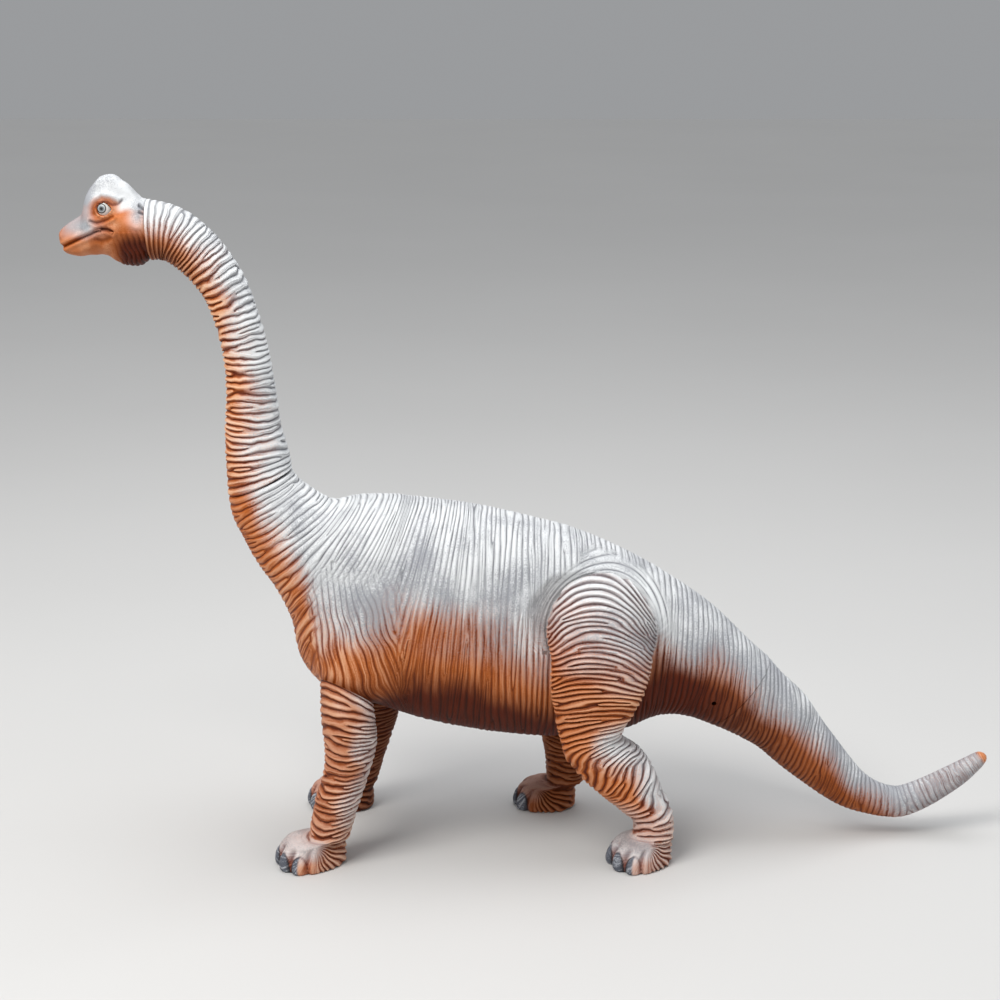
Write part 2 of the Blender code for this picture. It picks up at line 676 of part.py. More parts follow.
# Rings of a foot from the instep down to the flat sole, with the toes parted round the front
def foot_rings(middle, length, width, side, shrink=0, rows=FOOT_SHARES, sides=LEG_SIDES):
    ahead = Vector((-cos(FOOT_SPLAY), side * sin(FOOT_SPLAY), 0))
    across = Vector((side * sin(FOOT_SPLAY), cos(FOOT_SPLAY), 0))
    rings = []
    for height, shift, half_long, half_wide, parting in rows:
        centre = middle + ahead * (shift * length) + Vector((0, 0, height * length))
        long_side = half_long * length - shrink
        wide_side = half_wide * width - shrink
        plan = (Vector((0, 0, 0)), Vector((1, 0, 0)), Vector((0, 1, 0)))
        ring = oval(*plan, long_side, wide_side, ARCH_POWER, sides)
        for k, point in enumerate(ring):
            angle = (2 * pi * k / sides + pi) % (2 * pi) - pi
            if abs(angle) < TOE_ARC and not shrink:
                inset = TOE_DEPTH * parting * (1 - cos(2 * pi * angle / TOE_PITCH)) / 2
                point = point * (1 - inset / point.length)
            taper = 1 + FOOT_TAPER_SHARE * cos(angle)
            ring[k] = centre + ahead * point.x + across * (point.y * taper)
        rings.append(ring)
    return rings


def fore_leg_rings(seat, foot, shrink, rows, sides):
    rings = []
    for height, step, girth, slope in rows:
        middle = Vector((seat.point.x - step * FORE_FOOT_LENGTH, 0, height * FORE_SEAT_HEIGHT))
        middle.y = foot.y + (seat.point.y - foot.y) * height
        if height == 1:
            middle = seat.point - seat.inward * (SEAT_GAP + shrink)
        normal = (seat.inward * slope + Vector((0, 0, 1)) * (1 - slope)).normalized()
        across = Vector((-1, 0, 0)).cross(normal).normalized()
        ahead = normal.cross(across).normalized()
        radius = girth * FORE_GIRTH - shrink
        rings.append(oval(middle, ahead, across, radius, radius, TUBE_POWER, sides))
    return rings


def build_fore_leg(places, name, side, material):
    seat = places[name]
    foot = Vector((seat.point.x - FORE_STEP, side * FOOT_SPREAD, 0))
    rows = smooth_rows(FORE_SHARES, 2 * len(FORE_SHARES) - 1)
    rows[0] = FORE_SHARES[0]
    rings = fore_leg_rings(seat, foot, 0, rows, LEG_SIDES)
    rings += foot_rings(foot, FORE_FOOT_LENGTH, FORE_FOOT_WIDTH, side)
    shell = loft(name, rings, seat.point, material)
    add_plug(shell, seat, WALL / 2)
    inner = fore_leg_rings(seat, foot, WALL, FORE_SHARES, HOLLOW_SIDES)
    low = FOOT_SHARES[1:3]
    inner += foot_rings(foot, FORE_FOOT_LENGTH, FORE_FOOT_WIDTH, side, WALL, low, HOLLOW_SIDES)
    combine(shell, loft(name + "_hollow", inner, Vector((0, 0, 0))), "DIFFERENCE")
    add_bore(shell, seat, WALL + OVERRUN)
    return shell


def hind_leg_rings(seat, side, shrink, rows, sides):
    rings = []
    for height, step, deep, inside, outside, slope in rows:
        angle = radians(slope)
        ahead = Vector((-cos(angle), 0, -sin(angle)))
        across = Vector((0, 1, 0))
        middle = Vector((seat.point.x - step * HIND_FOOT_LENGTH, 0, height * HIP_HEIGHT))
        middle.y = side * (inside + outside) / 2 * HIP_SPREAD
        half_side = (outside - inside) / 2 * HIP_SPREAD - shrink
        rings.append(oval(middle, ahead, across, deep * HIP_RADIUS - shrink, half_side, ARCH_POWER, sides))
    return rings


def build_hind_leg(places, name, side, step, rows, material):
    seat = places[name]
    foot = Vector((seat.point.x - step, side * FOOT_SPREAD, 0))
    rings = hind_leg_rings(seat, side, 0, rows, LEG_SIDES)
    rings += foot_rings(foot, HIND_FOOT_LENGTH, HIND_FOOT_WIDTH, side)
    shell = loft(name, rings, seat.point, material)
    face = seat.cylinder("_face", -SEAT_GAP, HIP_SPREAD, HIP_RADIUS + OVERRUN)
    combine(shell, face, "DIFFERENCE")
    add_plug(shell, seat, WALL / 2)
    inner = hind_leg_rings(seat, side, WALL, rows[2:], HOLLOW_SIDES)
    low = FOOT_SHARES[1:3]
    inner += foot_rings(foot, HIND_FOOT_LENGTH, HIND_FOOT_WIDTH, side, WALL, low, HOLLOW_SIDES)
    hollow = loft(name + "_hollow", inner, Vector((0, 0, 0)))
    face_wall = seat.cylinder("_face_wall", -SEAT_GAP - WALL, HIP_SPREAD, HIP_RADIUS + WALL)
    combine(hollow, face_wall, "DIFFERENCE")
    combine(shell, hollow, "DIFFERENCE")
    add_bore(shell, seat, WALL + OVERRUN)
    return shell


# A moving shell keeps its origin on its joint's axis and follows the shell that carries it
def carry(shell, carrier):
    shell.location -= carrier.location
    shell.parent = carrier


def main():
    clear_scene()
    back_vinyl = plastic("torso_vinyl", (0.46, 0.40, 0.38), 0.55)
    neck_vinyl = plastic("neck_vinyl", (0.56, 0.42, 0.36), 0.55)
    head_vinyl = plastic("head_vinyl", (0.60, 0.38, 0.28), 0.5)
    tail_vinyl = plastic("tail_vinyl", (0.42, 0.34, 0.31), 0.55)
    leg_vinyl = plastic("leg_vinyl", (0.60, 0.34, 0.22), 0.55)
    places = seats()
    torso = build_torso(places, back_vinyl)
    neck = build_neck(places, neck_vinyl)
    head = build_head(places, head_vinyl)
    tail = build_tail(places, tail_vinyl)
    carry(head, neck)
    carry(neck, torso)
    carry(tail, torso)
    for name, side in (("left_fore_leg", -1), ("right_fore_leg", 1)):
        carry(build_fore_leg(places, name, side, leg_vinyl), torso)
    left = build_hind_leg(places, "left_hind_leg", -1, LEFT_HIND_STEP, LEFT_HIND_SHARES, leg_vinyl)
    right = build_hind_leg(places, "right_hind_leg", 1, RIGHT_HIND_STEP, RIGHT_HIND_SHARES, leg_vinyl)
    carry(left, torso)
    carry(right, torso)


main()
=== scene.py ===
from math import cos, pi, radians, sin

import bmesh
import bpy
import numpy as np
from mathutils import Matrix, Vector
from mathutils.kdtree import KDTree


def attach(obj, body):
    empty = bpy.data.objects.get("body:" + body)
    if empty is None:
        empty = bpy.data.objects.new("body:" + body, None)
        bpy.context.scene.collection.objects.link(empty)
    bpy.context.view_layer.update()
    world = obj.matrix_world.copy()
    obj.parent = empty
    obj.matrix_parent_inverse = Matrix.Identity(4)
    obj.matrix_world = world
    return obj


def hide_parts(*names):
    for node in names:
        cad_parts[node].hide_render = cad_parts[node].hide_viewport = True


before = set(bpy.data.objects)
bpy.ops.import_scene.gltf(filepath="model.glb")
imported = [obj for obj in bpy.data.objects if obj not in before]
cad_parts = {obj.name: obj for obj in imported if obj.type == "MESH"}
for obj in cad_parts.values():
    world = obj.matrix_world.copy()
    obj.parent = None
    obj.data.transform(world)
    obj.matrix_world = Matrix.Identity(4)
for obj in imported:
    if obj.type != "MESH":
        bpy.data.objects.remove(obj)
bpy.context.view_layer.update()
print("frame loaded")

# Every shape below is worked out in millimetres and becomes metres in its mesh
mm = 0.001

# Where the shells meet, as on the CAD model: the seat's middle, the way into the shell that
# carries it, and its radius
seats = {
    "neck": ((-120.6, 0, 164.0), (0.3971, 0, -0.9178), 15.1),
    "head": ((-163.8, 0, 273.6), (0.99872, 0, 0.05059), 13.0),
    "tail": ((89.4, 0, 68.9), (-0.74314, 0, 0.66913), 20.0),
    "left_fore_leg": ((-82.5, -29.0, 78.0), (0.4156, 0.4306, 0.8012), 12.9),
    "right_fore_leg": ((-74.0, 29.0, 78.0), (0.4156, -0.4306, 0.8012), 12.9),
    "left_hind_leg": ((27.0, -26.5, 106.0), (0, 0.96593, -0.25882), 24.5),
    "right_hind_leg": ((27.0, 26.5, 106.0), (0, -0.96593, -0.25882), 24.5),
}
foreLegs = ("left_fore_leg", "right_fore_leg")
hindLegs = ("left_hind_leg", "right_hind_leg")


# a smooth curve through the rows of a table, read at places between them
def readRows(rows, places):
    rows = np.array(rows, float)
    last = len(rows) - 1
    i = np.clip(places.astype(int), 0, last - 1)
    t = (places - i)[:, None]
    a, b = rows[np.maximum(i - 1, 0)], rows[i]
    c, d = rows[i + 1], rows[np.minimum(i + 2, last)]
    slope, bend, twist = c - a, 2 * a - 5 * b + 4 * c - d, 3 * b - a - 3 * c + d
    return (2 * b + slope * t + bend * t ** 2 + twist * t ** 3) / 2


# 0 at low and 1 at high, with soft ends; low may be the larger one
def ease(low, high, value):
    t = np.clip((value - low) / (high - low), 0, 1)
    return t * t * (3 - 2 * t)


# 1 in the middle, fading out about a width away
def bell(off, width):
    return np.exp(-(off / width) ** 2)


def spot(x, z, middle, size):
    return np.exp(-((x - middle[0]) / size[0]) ** 2 - ((z - middle[1]) / size[1]) ** 2)


def unit(vectors):
    return vectors / np.linalg.norm(vectors, axis=-1, keepdims=True)


# smooth random hills, repeating round the body after wrap cells
def hills(u, v, wrap, seed):
    table = np.random.RandomState(seed).uniform(-1, 1, (101, wrap))
    iu, iv = np.floor(u).astype(int), np.floor(v).astype(int)
    fu, fv = u - iu, v - iv
    fu, fv = fu ** 3 * (fu * (fu * 6 - 15) + 10), fv ** 3 * (fv * (fv * 6 - 15) + 10)
    a, b = table[iu % 101, iv % wrap], table[(iu + 1) % 101, iv % wrap]
    c, d = table[iu % 101, (iv + 1) % wrap], table[(iu + 1) % 101, (iv + 1) % wrap]
    return (a * (1 - fu) + b * fu) * (1 - fv) + (c * (1 - fu) + d * fu) * fv


# the same, laid round a body: how long a hill is in millimetres, and how many stand round it
def hillsRound(length, angle, long, count, seed):
    return hills(length / long, angle * count / (2 * pi), count, seed)


# how close each point comes to a line drawn through a few points, in millimetres
def nearLine(x, z, line):
    best = np.full(x.shape, 1e9)
    for (x0, z0), (x1, z1) in zip(line, line[1:]):
        length = (x1 - x0) ** 2 + (z1 - z0) ** 2
        t = np.clip(((x - x0) * (x1 - x0) + (z - z0) * (z1 - z0)) / length, 0, 1)
        best = np.minimum(best, np.hypot(x - x0 - t * (x1 - x0), z - z0 - t * (z1 - z0)))
    return best


# Even rings along a body. Each row of its table: middle xyz, up xyz, side xyz, half up,
# half side, squareness, and 1 on a foot
def sweep(table, count, sides):
    last = len(table) - 1
    dense = np.linspace(0, last, 1500)
    read = readRows(table, dense)
    gone = np.zeros(len(dense))
    for part, half, sign in ((3, 9, 1), (3, 9, -1), (6, 10, 1), (6, 10, -1)):
        edge = read[:, 0:3] + sign * unit(read[:, part:part + 3]) * read[:, half:half + 1]
        gone[1:] += np.linalg.norm(np.diff(edge, axis=0), axis=1) / 4
    gone = np.cumsum(gone)
    places = np.interp(np.linspace(0, gone[-1], count), gone, dense)
    read = readRows(table, places)
    up, side = unit(read[:, 3:6])[:, None, :], unit(read[:, 6:9])[:, None, :]
    angle = 2 * pi * np.arange(sides) / sides
    u, v = np.cos(angle)[None, :], np.sin(angle)[None, :]
    power = read[:, 11:12]
    size = (np.abs(u) ** power + np.abs(v) ** power) ** (-1 / power)
    rings = read[:, None, 0:3] + up * (read[:, 9:10] * u * size)[..., None]
    rings = rings + side * (read[:, 10:11] * v * size)[..., None]
    length = np.linspace(0, gone[-1], count)[:, None] * np.ones((1, sides))
    return rings, length, angle[None, :] * np.ones((count, 1)), read


# normals that point away from the middle of each ring
def outward(rings):
    around = np.roll(rings, -1, 1) - np.roll(rings, 1, 1)
    along = np.gradient(rings, axis=0)
    normals = np.cross(around, along)
    normals /= np.maximum(np.linalg.norm(normals, axis=-1, keepdims=True), 1e-9)
    middle = rings.mean(1, keepdims=True)
    return normals if np.sum(normals * (rings - middle)) > 0 else -normals


# a grid laid on the rings, closed to a tube with filled ends; marks become attributes
def makeSkin(name, rings, marks, material):
    rows, sides = rings.shape[:2]
    body = bmesh.new()
    bmesh.ops.create_grid(body, x_segments=sides, y_segments=rows - 1, size=0.5)
    layers = {mark: body.verts.layers.float.new(mark) for mark in marks}
    spots = (rings * mm).tolist()
    values = {mark: np.broadcast_to(field, (rows, sides)).tolist() for mark, field in marks.items()}
    for vert in body.verts:
        across = round((vert.co.x + 0.5) * sides) % sides
        along = round((vert.co.y + 0.5) * (rows - 1))
        vert.co = spots[along][across]
        for mark, layer in layers.items():
            vert[layer] = values[mark][along][across]
    bmesh.ops.remove_doubles(body, verts=body.verts, dist=1e-7)
    bmesh.ops.edgeloop_fill(body, edges=[e for e in body.edges if e.is_boundary])
    bmesh.ops.recalc_face_normals(body, faces=body.faces)
    return finishPiece(name, body, material)


# puts an object in the scene; a lamp or camera stands at a place and looks at its aim
def addObject(name, data, place=(0, 0, 0), aim=None):
    made = bpy.data.objects.new(name, data)
    made.location = place
    if aim:
        made.rotation_euler = (aim - Vector(place)).to_track_quat("-Z", "Y").to_euler()
    bpy.context.scene.collection.objects.link(made)
    return made


def addMesh(name, body):
    mesh = bpy.data.meshes.new(name)
    body.to_mesh(mesh)
    body.free()
    return addObject(name, mesh)


def finishPiece(name, body, material):
    piece = addMesh(name, body)
    piece.data.shade_smooth()
    piece.data.set_sharp_from_angle(angle=radians(60))
    piece.data.materials.append(material)
    return piece


# one tool mesh out of several round bars: where it starts and ends on the seat's axis, and radius
def makeTool(name, bars):
    body = bmesh.new()
    for point, axis, start, end, radius in bars:
        axis = Vector(axis).normalized()
        middle = Vector(point) + axis * (start + end) / 2
        turn = Vector((0, 0, 1)).rotation_difference(axis).to_matrix().to_4x4()
        place = Matrix.Scale(mm, 4) @ Matrix.Translation(middle) @ turn
        bmesh.ops.create_cone(body, cap_ends=True, segments=72, radius1=radius, radius2=radius,
                              depth=end - start, matrix=place)
    return addMesh(name, body)


# cuts or joins a tool, and gives the new corners the marks of the nearest skin
def carve(piece, tool, operation):
    old = piece.data
    marks = [a.name for a in old.attributes if a.domain == "POINT" and a.data_type == "FLOAT"]
    near = KDTree(len(old.vertices))
    for vert in old.vertices:
        near.insert(vert.co, vert.index)
    near.balance()
    change = piece.modifiers.new(tool.name, "BOOLEAN")
    change.operation = operation
    change.solver = "EXACT"
    change.object = tool
    bpy.context.view_layer.update()
    done = bpy.data.meshes.new_from_object(piece.evaluated_get(bpy.context.evaluated_depsgraph_get()))
    piece.modifiers.clear()
    closest = [near.find(vert.co)[1:] for vert in done.vertices]
    found = np.array([index for index, _ in closest])
    fresh = np.array([gap for _, gap in closest]) > 1e-6
    for mark in marks:
        values = np.empty(len(old.vertices), np.float32)
        old.attributes[mark].data.foreach_get("value", values)
        values = values[found]
        if mark == "calm":
            values[fresh] = 0.75
        done.attributes[mark].data.foreach_set("value", values)
    piece.data = done
    bpy.data.meshes.remove(old)
    bpy.data.objects.remove(tool)


# Skin folds: ridges with furrows between them, some split by a finer line. 0 is a furrow's
# bottom, and each ridge hangs over the furrow below it, as much as the mark "lit" says
def folds(marks):
    ridge = 0
    for key, share in (("phase", 1 - marks["swap"]), ("phaseB", marks["swap"])):
        hung = marks[key] - 0.08 * marks["lit"] * (1 - np.cos(2 * pi * marks[key]))
        full = np.abs(np.sin(pi * hung)) ** marks["round"]
        line = 1 - np.abs(np.cos(pi * hung)) ** 0.6
        ridge = ridge + share * full * (1 - 0.6 * marks["split"] * line)
    return np.maximum(ridge, marks["calm"]) * (1 - marks["dent"])


def pressFolds(rings, normals, marks, depth):
    return rings - normals * (depth * (1 - folds(marks)))[..., None]


# moves the run of folds along a body, by a number of folds
def shiftFolds(marks, shift):
    for key in ("phase", "phaseB"):
        marks[key] = marks[key] + shift


# counts folds along a body so that furrows fall on both ends, and bends them a little
def countFolds(length, angle, pitch, girth, strength, soft, seed, openEnd=False, sparse=1.0,
               first=0, last=0):
    total = length.max()
    phase = length / total * round(total / pitch)
    near = length if openEnd else np.minimum(length, total - length)
    turn = angle / (2 * pi)
    bend = 0.7 * hills(length / 9, turn * girth, girth, seed)
    bend += 0.3 * hills(length / 4, turn * girth * 2, girth * 2, seed + 1)
    bend += 0.22 * hills(length / 2.4, turn * girth * 4, girth * 4, seed + 2)
    split = ease(-0.1, 0.7, hills(length / 5, turn * girth, girth, seed + 4))
    nothing = np.zeros_like(phase)
    marks = {key: nothing for key in ("swap", "calm", "dent", "claw", "dull", "lit", "mist")}
    marks.update(phase=phase + bend * strength * ease(0, 5, near), split=split, round=nothing + soft)
    addForks(marks, length, turn * girth * 12, girth * 12, pitch * sparse, seed, first, last)
    return marks


# lays another run of folds over a part of a body, numbered like the first one so that they blend
def layFolds(marks, share, other):
    other = other + round(float((marks["phase"] - other)[share > 0.5].mean()))
    marks["phaseB"] = np.where(share > 0.02, other, marks["phaseB"])
    marks["swap"] = np.maximum(marks["swap"] * (1 - share), share)


# places where one fold becomes two or two become one: each starts and ends on the same ring;
# phaseB is the same pattern, used where the first one's count jumps
def addForks(marks, length, around, wrap, step, seed, first, last):
    chance = np.random.RandomState(seed + 5)
    marks["phaseB"] = marks["phase"].copy()
    swap = np.zeros_like(length)
    start, end = max(first, 2.6 * step), length.max() - max(last, 2.2 * step)
    for row, ring in enumerate(np.arange(start, end, 2.1 * step)):
        for cell in range(wrap // 24):
            ahead = length - ring - chance.uniform(-0.35, 0.35) * step
            across = around - cell * 24 - row % 2 * 12 - chance.uniform(-4, 4)
            across = (across + wrap / 2) % wrap - wrap / 2
            half = chance.uniform(3.5, 8.5)
            sign = chance.choice((-1, 1))
            jump = np.arctan2(2.4 * ahead, across + half) - np.arctan2(2.4 * ahead, across - half)
            jump = jump / (2 * pi)
            marks["phase"] = marks["phase"] + sign * jump
            marks["phaseB"] = marks["phaseB"] + sign * jump
            marks["phaseB"] += sign * (ahead > 0) * (np.abs(ahead) < 2.5) * (np.abs(across) < half + 2)
            swap = np.where((np.abs(ahead) < 1.2) & (np.abs(across) < half), 1.0, swap)
    marks["swap"] = swap


# a hex colour as the shader wants it
def tint(code):
    parts = [int(code[i:i + 2], 16) / 255 for i in (0, 2, 4)]
    return tuple(c / 12.92 if c < 0.04045 else ((c + 0.055) / 1.055) ** 2.4 for c in parts) + (1.0,)


# a material or the room round the toy, with short names for the nodes it is built from
class Paint:
    def __init__(self, owner, shader="Principled BSDF", place="Object"):
        self.owner = owner
        owner.use_nodes = True
        self.tree = owner.node_tree
        self.shader = self.tree.nodes[shader]
        self.place = self.node("ShaderNodeTexCoord", {}, place)

    def shade(self, key, value):
        self.feed(self.shader.inputs[key], value)

    # links a socket to another one, or sets it to a number, a vector or a hex colour
    def feed(self, socket, value):
        if isinstance(value, bpy.types.NodeSocket):
            self.tree.links.new(value, socket)
        else:
            socket.default_value = tint(value) if isinstance(value, str) else value

    # one node with its inputs fed, as the output that is asked for
    def node(self, kind, inputs, output, **settings):
        made = self.tree.nodes.new(kind)
        for key, value in settings.items():
            setattr(made, key, value)
        for key, value in inputs.items():
            self.feed(made.inputs[key], value)
        return made.outputs[output]

    def mark(self, name):
        return self.node("ShaderNodeAttribute", {}, "Fac", attribute_name=name)

    def noise(self, scale, detail=2.0, rough=0.5, seed=0.0):
        inputs = {"Vector": self.place, "Scale": scale, "Detail": detail, "Roughness": rough, "W": seed}
        return self.node("ShaderNodeTexNoise", inputs, "Fac", noise_dimensions="4D")

    def math(self, operation, a, b=0.0, clamp=False):
        return self.node("ShaderNodeMath", {0: a, 1: b}, 0, operation=operation, use_clamp=clamp)

    def times(self, a, b):
        return self.math("MULTIPLY", a, b)

    def plus(self, a, b, clamp=False):
        return self.math("ADD", a, b, clamp)

    def minus(self, a, b):
        return self.math("SUBTRACT", a, b)

    def ramp(self, value, low, high, start=0.0, end=1.0):
        inputs = {"Value": value, "From Min": low, "From Max": high, "To Min": start, "To Max": end}
        return self.node("ShaderNodeMapRange", inputs, "Result", interpolation_type="SMOOTHSTEP")

    def blend(self, factor, a, b):
        return self.node("ShaderNodeMix", {0: factor, 2: a, 3: b}, 0, data_type="FLOAT")

    def mix(self, factor, a, b):
        return self.node("ShaderNodeMix", {0: factor, 6: a, 7: b}, 2, data_type="RGBA")

    def bump(self, height, distance, strength):
        inputs = {"Height": height, "Distance": distance, "Strength": strength}
        self.shade("Normal", self.node("ShaderNodeBump", inputs, "Normal"))


# the furrow colours are darker, partly a brown wash and partly painted shade, on the nails too; the Deep
# pair is the underside's dark brown, partly painted shade; crest is the pale dry-brush on the fold tops,
# partly a painted highlight
vinylLook = {
    "ridgeWarm": "bc6427", "furrowWarm": "64260f", "ridgeDeep": "581d04", "furrowDeep": "2a0d04",
    "ridgeCool": "d9dbdc", "furrowCool": "66676c", "coolPatch": "8f9197", "crest": "e2b18d",
    "nail": "565962", "nailSheen": "b4b7bd", "nailFurrow": "2b282a",
    "roughness": 0.52, "specular": 0.16, "grain": 1700, "cloud": 55, "crease": 95, "creaseRun": 4.3,
    "relief": 0.0004, "reliefStrength": 0.8,
}


# orange vinyl with its furrows painted darker, partly a brown wash and partly painted shade, and a pale
# grey coat sprayed on from above
def vinylPaint(look):
    paint = Paint(bpy.data.materials.new("painted_vinyl"))
    times, plus, minus = paint.times, paint.plus, paint.minus
    swap, split, calm, dent, claw = (paint.mark(m) for m in ("swap", "split", "calm", "dent", "claw"))
    soft = times(paint.mark("round"), 0.85)
    frost, deep, dryBrushAndHighlight, dull = (paint.mark(m) for m in ("frost", "deep", "dryBrushAndHighlight", "dull"))
    phase, phaseB = paint.mark("phase"), paint.mark("phaseB")
    fold, above = [], []
    lit = paint.mark("lit")
    # the same folds as in the mesh, so that the paint follows them
    for marked in (phase, phaseB):
        hang = minus(1.0, paint.math("COSINE", times(marked, 2 * pi)))
        hang = times(times(hang, lit), 0.08)
        turn = times(minus(marked, hang), pi)
        full = paint.math("POWER", paint.math("ABSOLUTE", paint.math("SINE", turn)), soft)
        line = paint.math("POWER", paint.math("ABSOLUTE", paint.math("COSINE", turn)), 0.35)
        line = times(minus(1.0, line), times(split, 0.8))
        fold.append(times(full, minus(1.0, line)))
        # plus on the side of each fold that faces up and minus under it, for painted light and painted
        # shade
        above.append(paint.math("SINE", times(turn, 2.0)))
    ridge = paint.blend(swap, fold[0], fold[1])
    ridge = times(paint.math("MAXIMUM", ridge, calm), minus(1.0, dent))

    grain = paint.noise(look["grain"], 3.0, 0.65)
    cloud = paint.noise(look["cloud"], 3.0, 0.55, 3.0)
    # fine creases that run along the folds
    run = times(paint.blend(swap, phase, phaseB), look["creaseRun"])
    run = paint.node("ShaderNodeCombineXYZ", {"X": run}, 0)
    inputs = {0: paint.place, 1: (look["crease"],) * 3, 2: run}
    lines = paint.node("ShaderNodeVectorMath", inputs, 0, operation="MULTIPLY_ADD")
    inputs = {"Vector": lines, "Scale": 1.0, "Detail": 3.0}
    streak = paint.node("ShaderNodeTexNoise", inputs, "Fac", noise_dimensions="3D")
    streak = minus(streak, 0.5)
    fleck = minus(grain, 0.5)

    # the furrows and the underside of each fold are painted darker, partly a brown wash and partly painted
    # shade, and the upper side of each fold lighter, as painted light from above
    foldShadeAndSpeckle = plus(ridge, plus(times(fleck, 0.5), streak))
    # painted light on the upper side of each fold and painted shade under it, as much as the mark lit says
    paintedLitSide = times(paint.blend(swap, above[0], above[1]), lit)
    foldShadeAndSpeckle = plus(foldShadeAndSpeckle, times(paintedLitSide, 0.25))
    top = paint.ramp(foldShadeAndSpeckle, 0.0, 1.0)
    warm = paint.mix(top, look["furrowWarm"], look["ridgeWarm"])
    # the underside's dark brown, partly brown paint and partly painted shade
    dark = paint.mix(top, look["furrowDeep"], look["ridgeDeep"])
    warm = paint.mix(deep, warm, dark)
    # the pale tops of the folds, partly dry-brushed paint and partly a painted highlight
    crest = times(paint.ramp(foldShadeAndSpeckle, 0.6, 1.15), dryBrushAndHighlight)
    warm = paint.mix(crest, warm, look["crest"])
    cool = paint.mix(paint.ramp(foldShadeAndSpeckle, -0.1, 1.0), look["furrowCool"], look["ridgeCool"])
    patch = plus(cloud, times(fleck, 1.1))
    patch = paint.ramp(plus(patch, times(dull, 0.28)), 0.45, 0.85, 0.0, 0.85)
    cool = paint.mix(patch, cool, look["coolPatch"])
    # the coat's edge breaks up into sprayed specks, caught by the ridges first
    edge = times(times(frost, minus(1.0, frost)), 4.0)
    loose = plus(times(fleck, 1.5), times(streak, 0.8))
    loose = plus(loose, times(minus(top, 0.6), 0.5))
    loose = times(loose, minus(1.0, paint.mark("mist")))
    coat = plus(frost, times(loose, edge), True)
    colour = paint.mix(coat, warm, cool)
    shine = paint.ramp(plus(streak, fleck), -0.05, 0.3)
    nail = paint.mix(shine, look["nail"], look["nailSheen"])
    nail = paint.mix(paint.ramp(ridge, 0.2, 0.8), look["nailFurrow"], nail)
    paint.shade("Base Color", paint.mix(claw, colour, nail))
    smooth, rough = look["roughness"] - 0.07, look["roughness"] + 0.07
    paint.shade("Roughness", paint.ramp(grain, 0.3, 0.7, smooth, rough))
    paint.shade("Specular IOR Level", look["specular"])
    height = plus(ridge, times(streak, 0.9))
    height = plus(height, times(grain, 0.2))
    paint.bump(height, look["relief"], look["reliefStrength"])
    return paint.owner


# Torso. Pitch is the width of a fold and furrow its depth; the cuts leave room for the legs
torso = {
    "length": 210.0, "rise": 95.1, "depth": 99.6, "width": 77.0, "rings": 535, "sides": 190,
    "pitch": 2.8, "furrow": 0.58, "hipCut": 24.6, "shoulderCut": 16.8,
    "vent": (76.8, -14, 69.4), "ventRadius": 1.1,
}
torsoRows = (  # along, height, half depth, half width, lean
    (0.0000, 1.000, 0.303, 0.392, 66.6),
    (0.0143, 0.918, 0.341, 0.436, 60.0),
    (0.0652, 0.784, 0.426, 0.532, 54.0),
    (0.1110, 0.717, 0.534, 0.655, 41.0),
    (0.1448, 0.648, 0.657, 0.775, 34.0),
    (0.1795, 0.551, 0.842, 0.880, 30.5),
    (0.2243, 0.476, 0.928, 0.950, 23.4),
    (0.3029, 0.432, 0.950, 0.990, 18.0),
    (0.4076, 0.374, 0.985, 0.985, 11.5),
    (0.5314, 0.318, 0.979, 0.905, 7.0),
    (0.6433, 0.280, 0.938, 0.825, 3.0),
    (0.7576, 0.237, 0.807, 0.745, 3.6),
    (0.8410, 0.202, 0.632, 0.670, 10.7),
    (0.8980, 0.149, 0.528, 0.610, 22.0),
    (0.9514, 0.071, 0.443, 0.560, 35.0),
    (1.0000, 0.000, 0.402, 0.519, 42.0),
)
# height at which the grey coat gives way to orange on the flank, along the length
coatLine = (
    (-140, 190), (-128, 172), (-119, 154), (-111, 145), (-102, 132), (-97, 117), (-94, 110),
    (-85, 110), (-68, 106), (-59, 112), (-51, 117), (-42, 113), (-30, 110), (-16, 104), (2, 98),
    (30, 97), (61, 93), (78, 82), (90, 74), (99, 65), (108, 57), (117, 48), (126, 38), (134, 30),
    (143, 22), (152, 15), (164, 4), (202, 4),
)
# how far the folds turn upright, along the length: folds gained for each mm of height
torsoUpright = (
    (-85, 0), (-40, 0.045), (-9, 0.04), (14, 0.018), (39, 0.018), (56, 0.035), (68, 0.1),
    (79, 0.18), (89, 0.218),
)
shoulder = {"radius": 13.4, "into": 9.38, "forward": 4, "narrow": 0.69, "top": 112.0, "soft": 8}


def coatHeight(x):
    return np.interp(x, *zip(*coatLine))


# the dark brown on the underside, partly painted shade, gets lighter from the rump to the tail's end
def dusk(x):
    return np.interp(x, (70, 89, 125), (1, 0.85, 0.5))


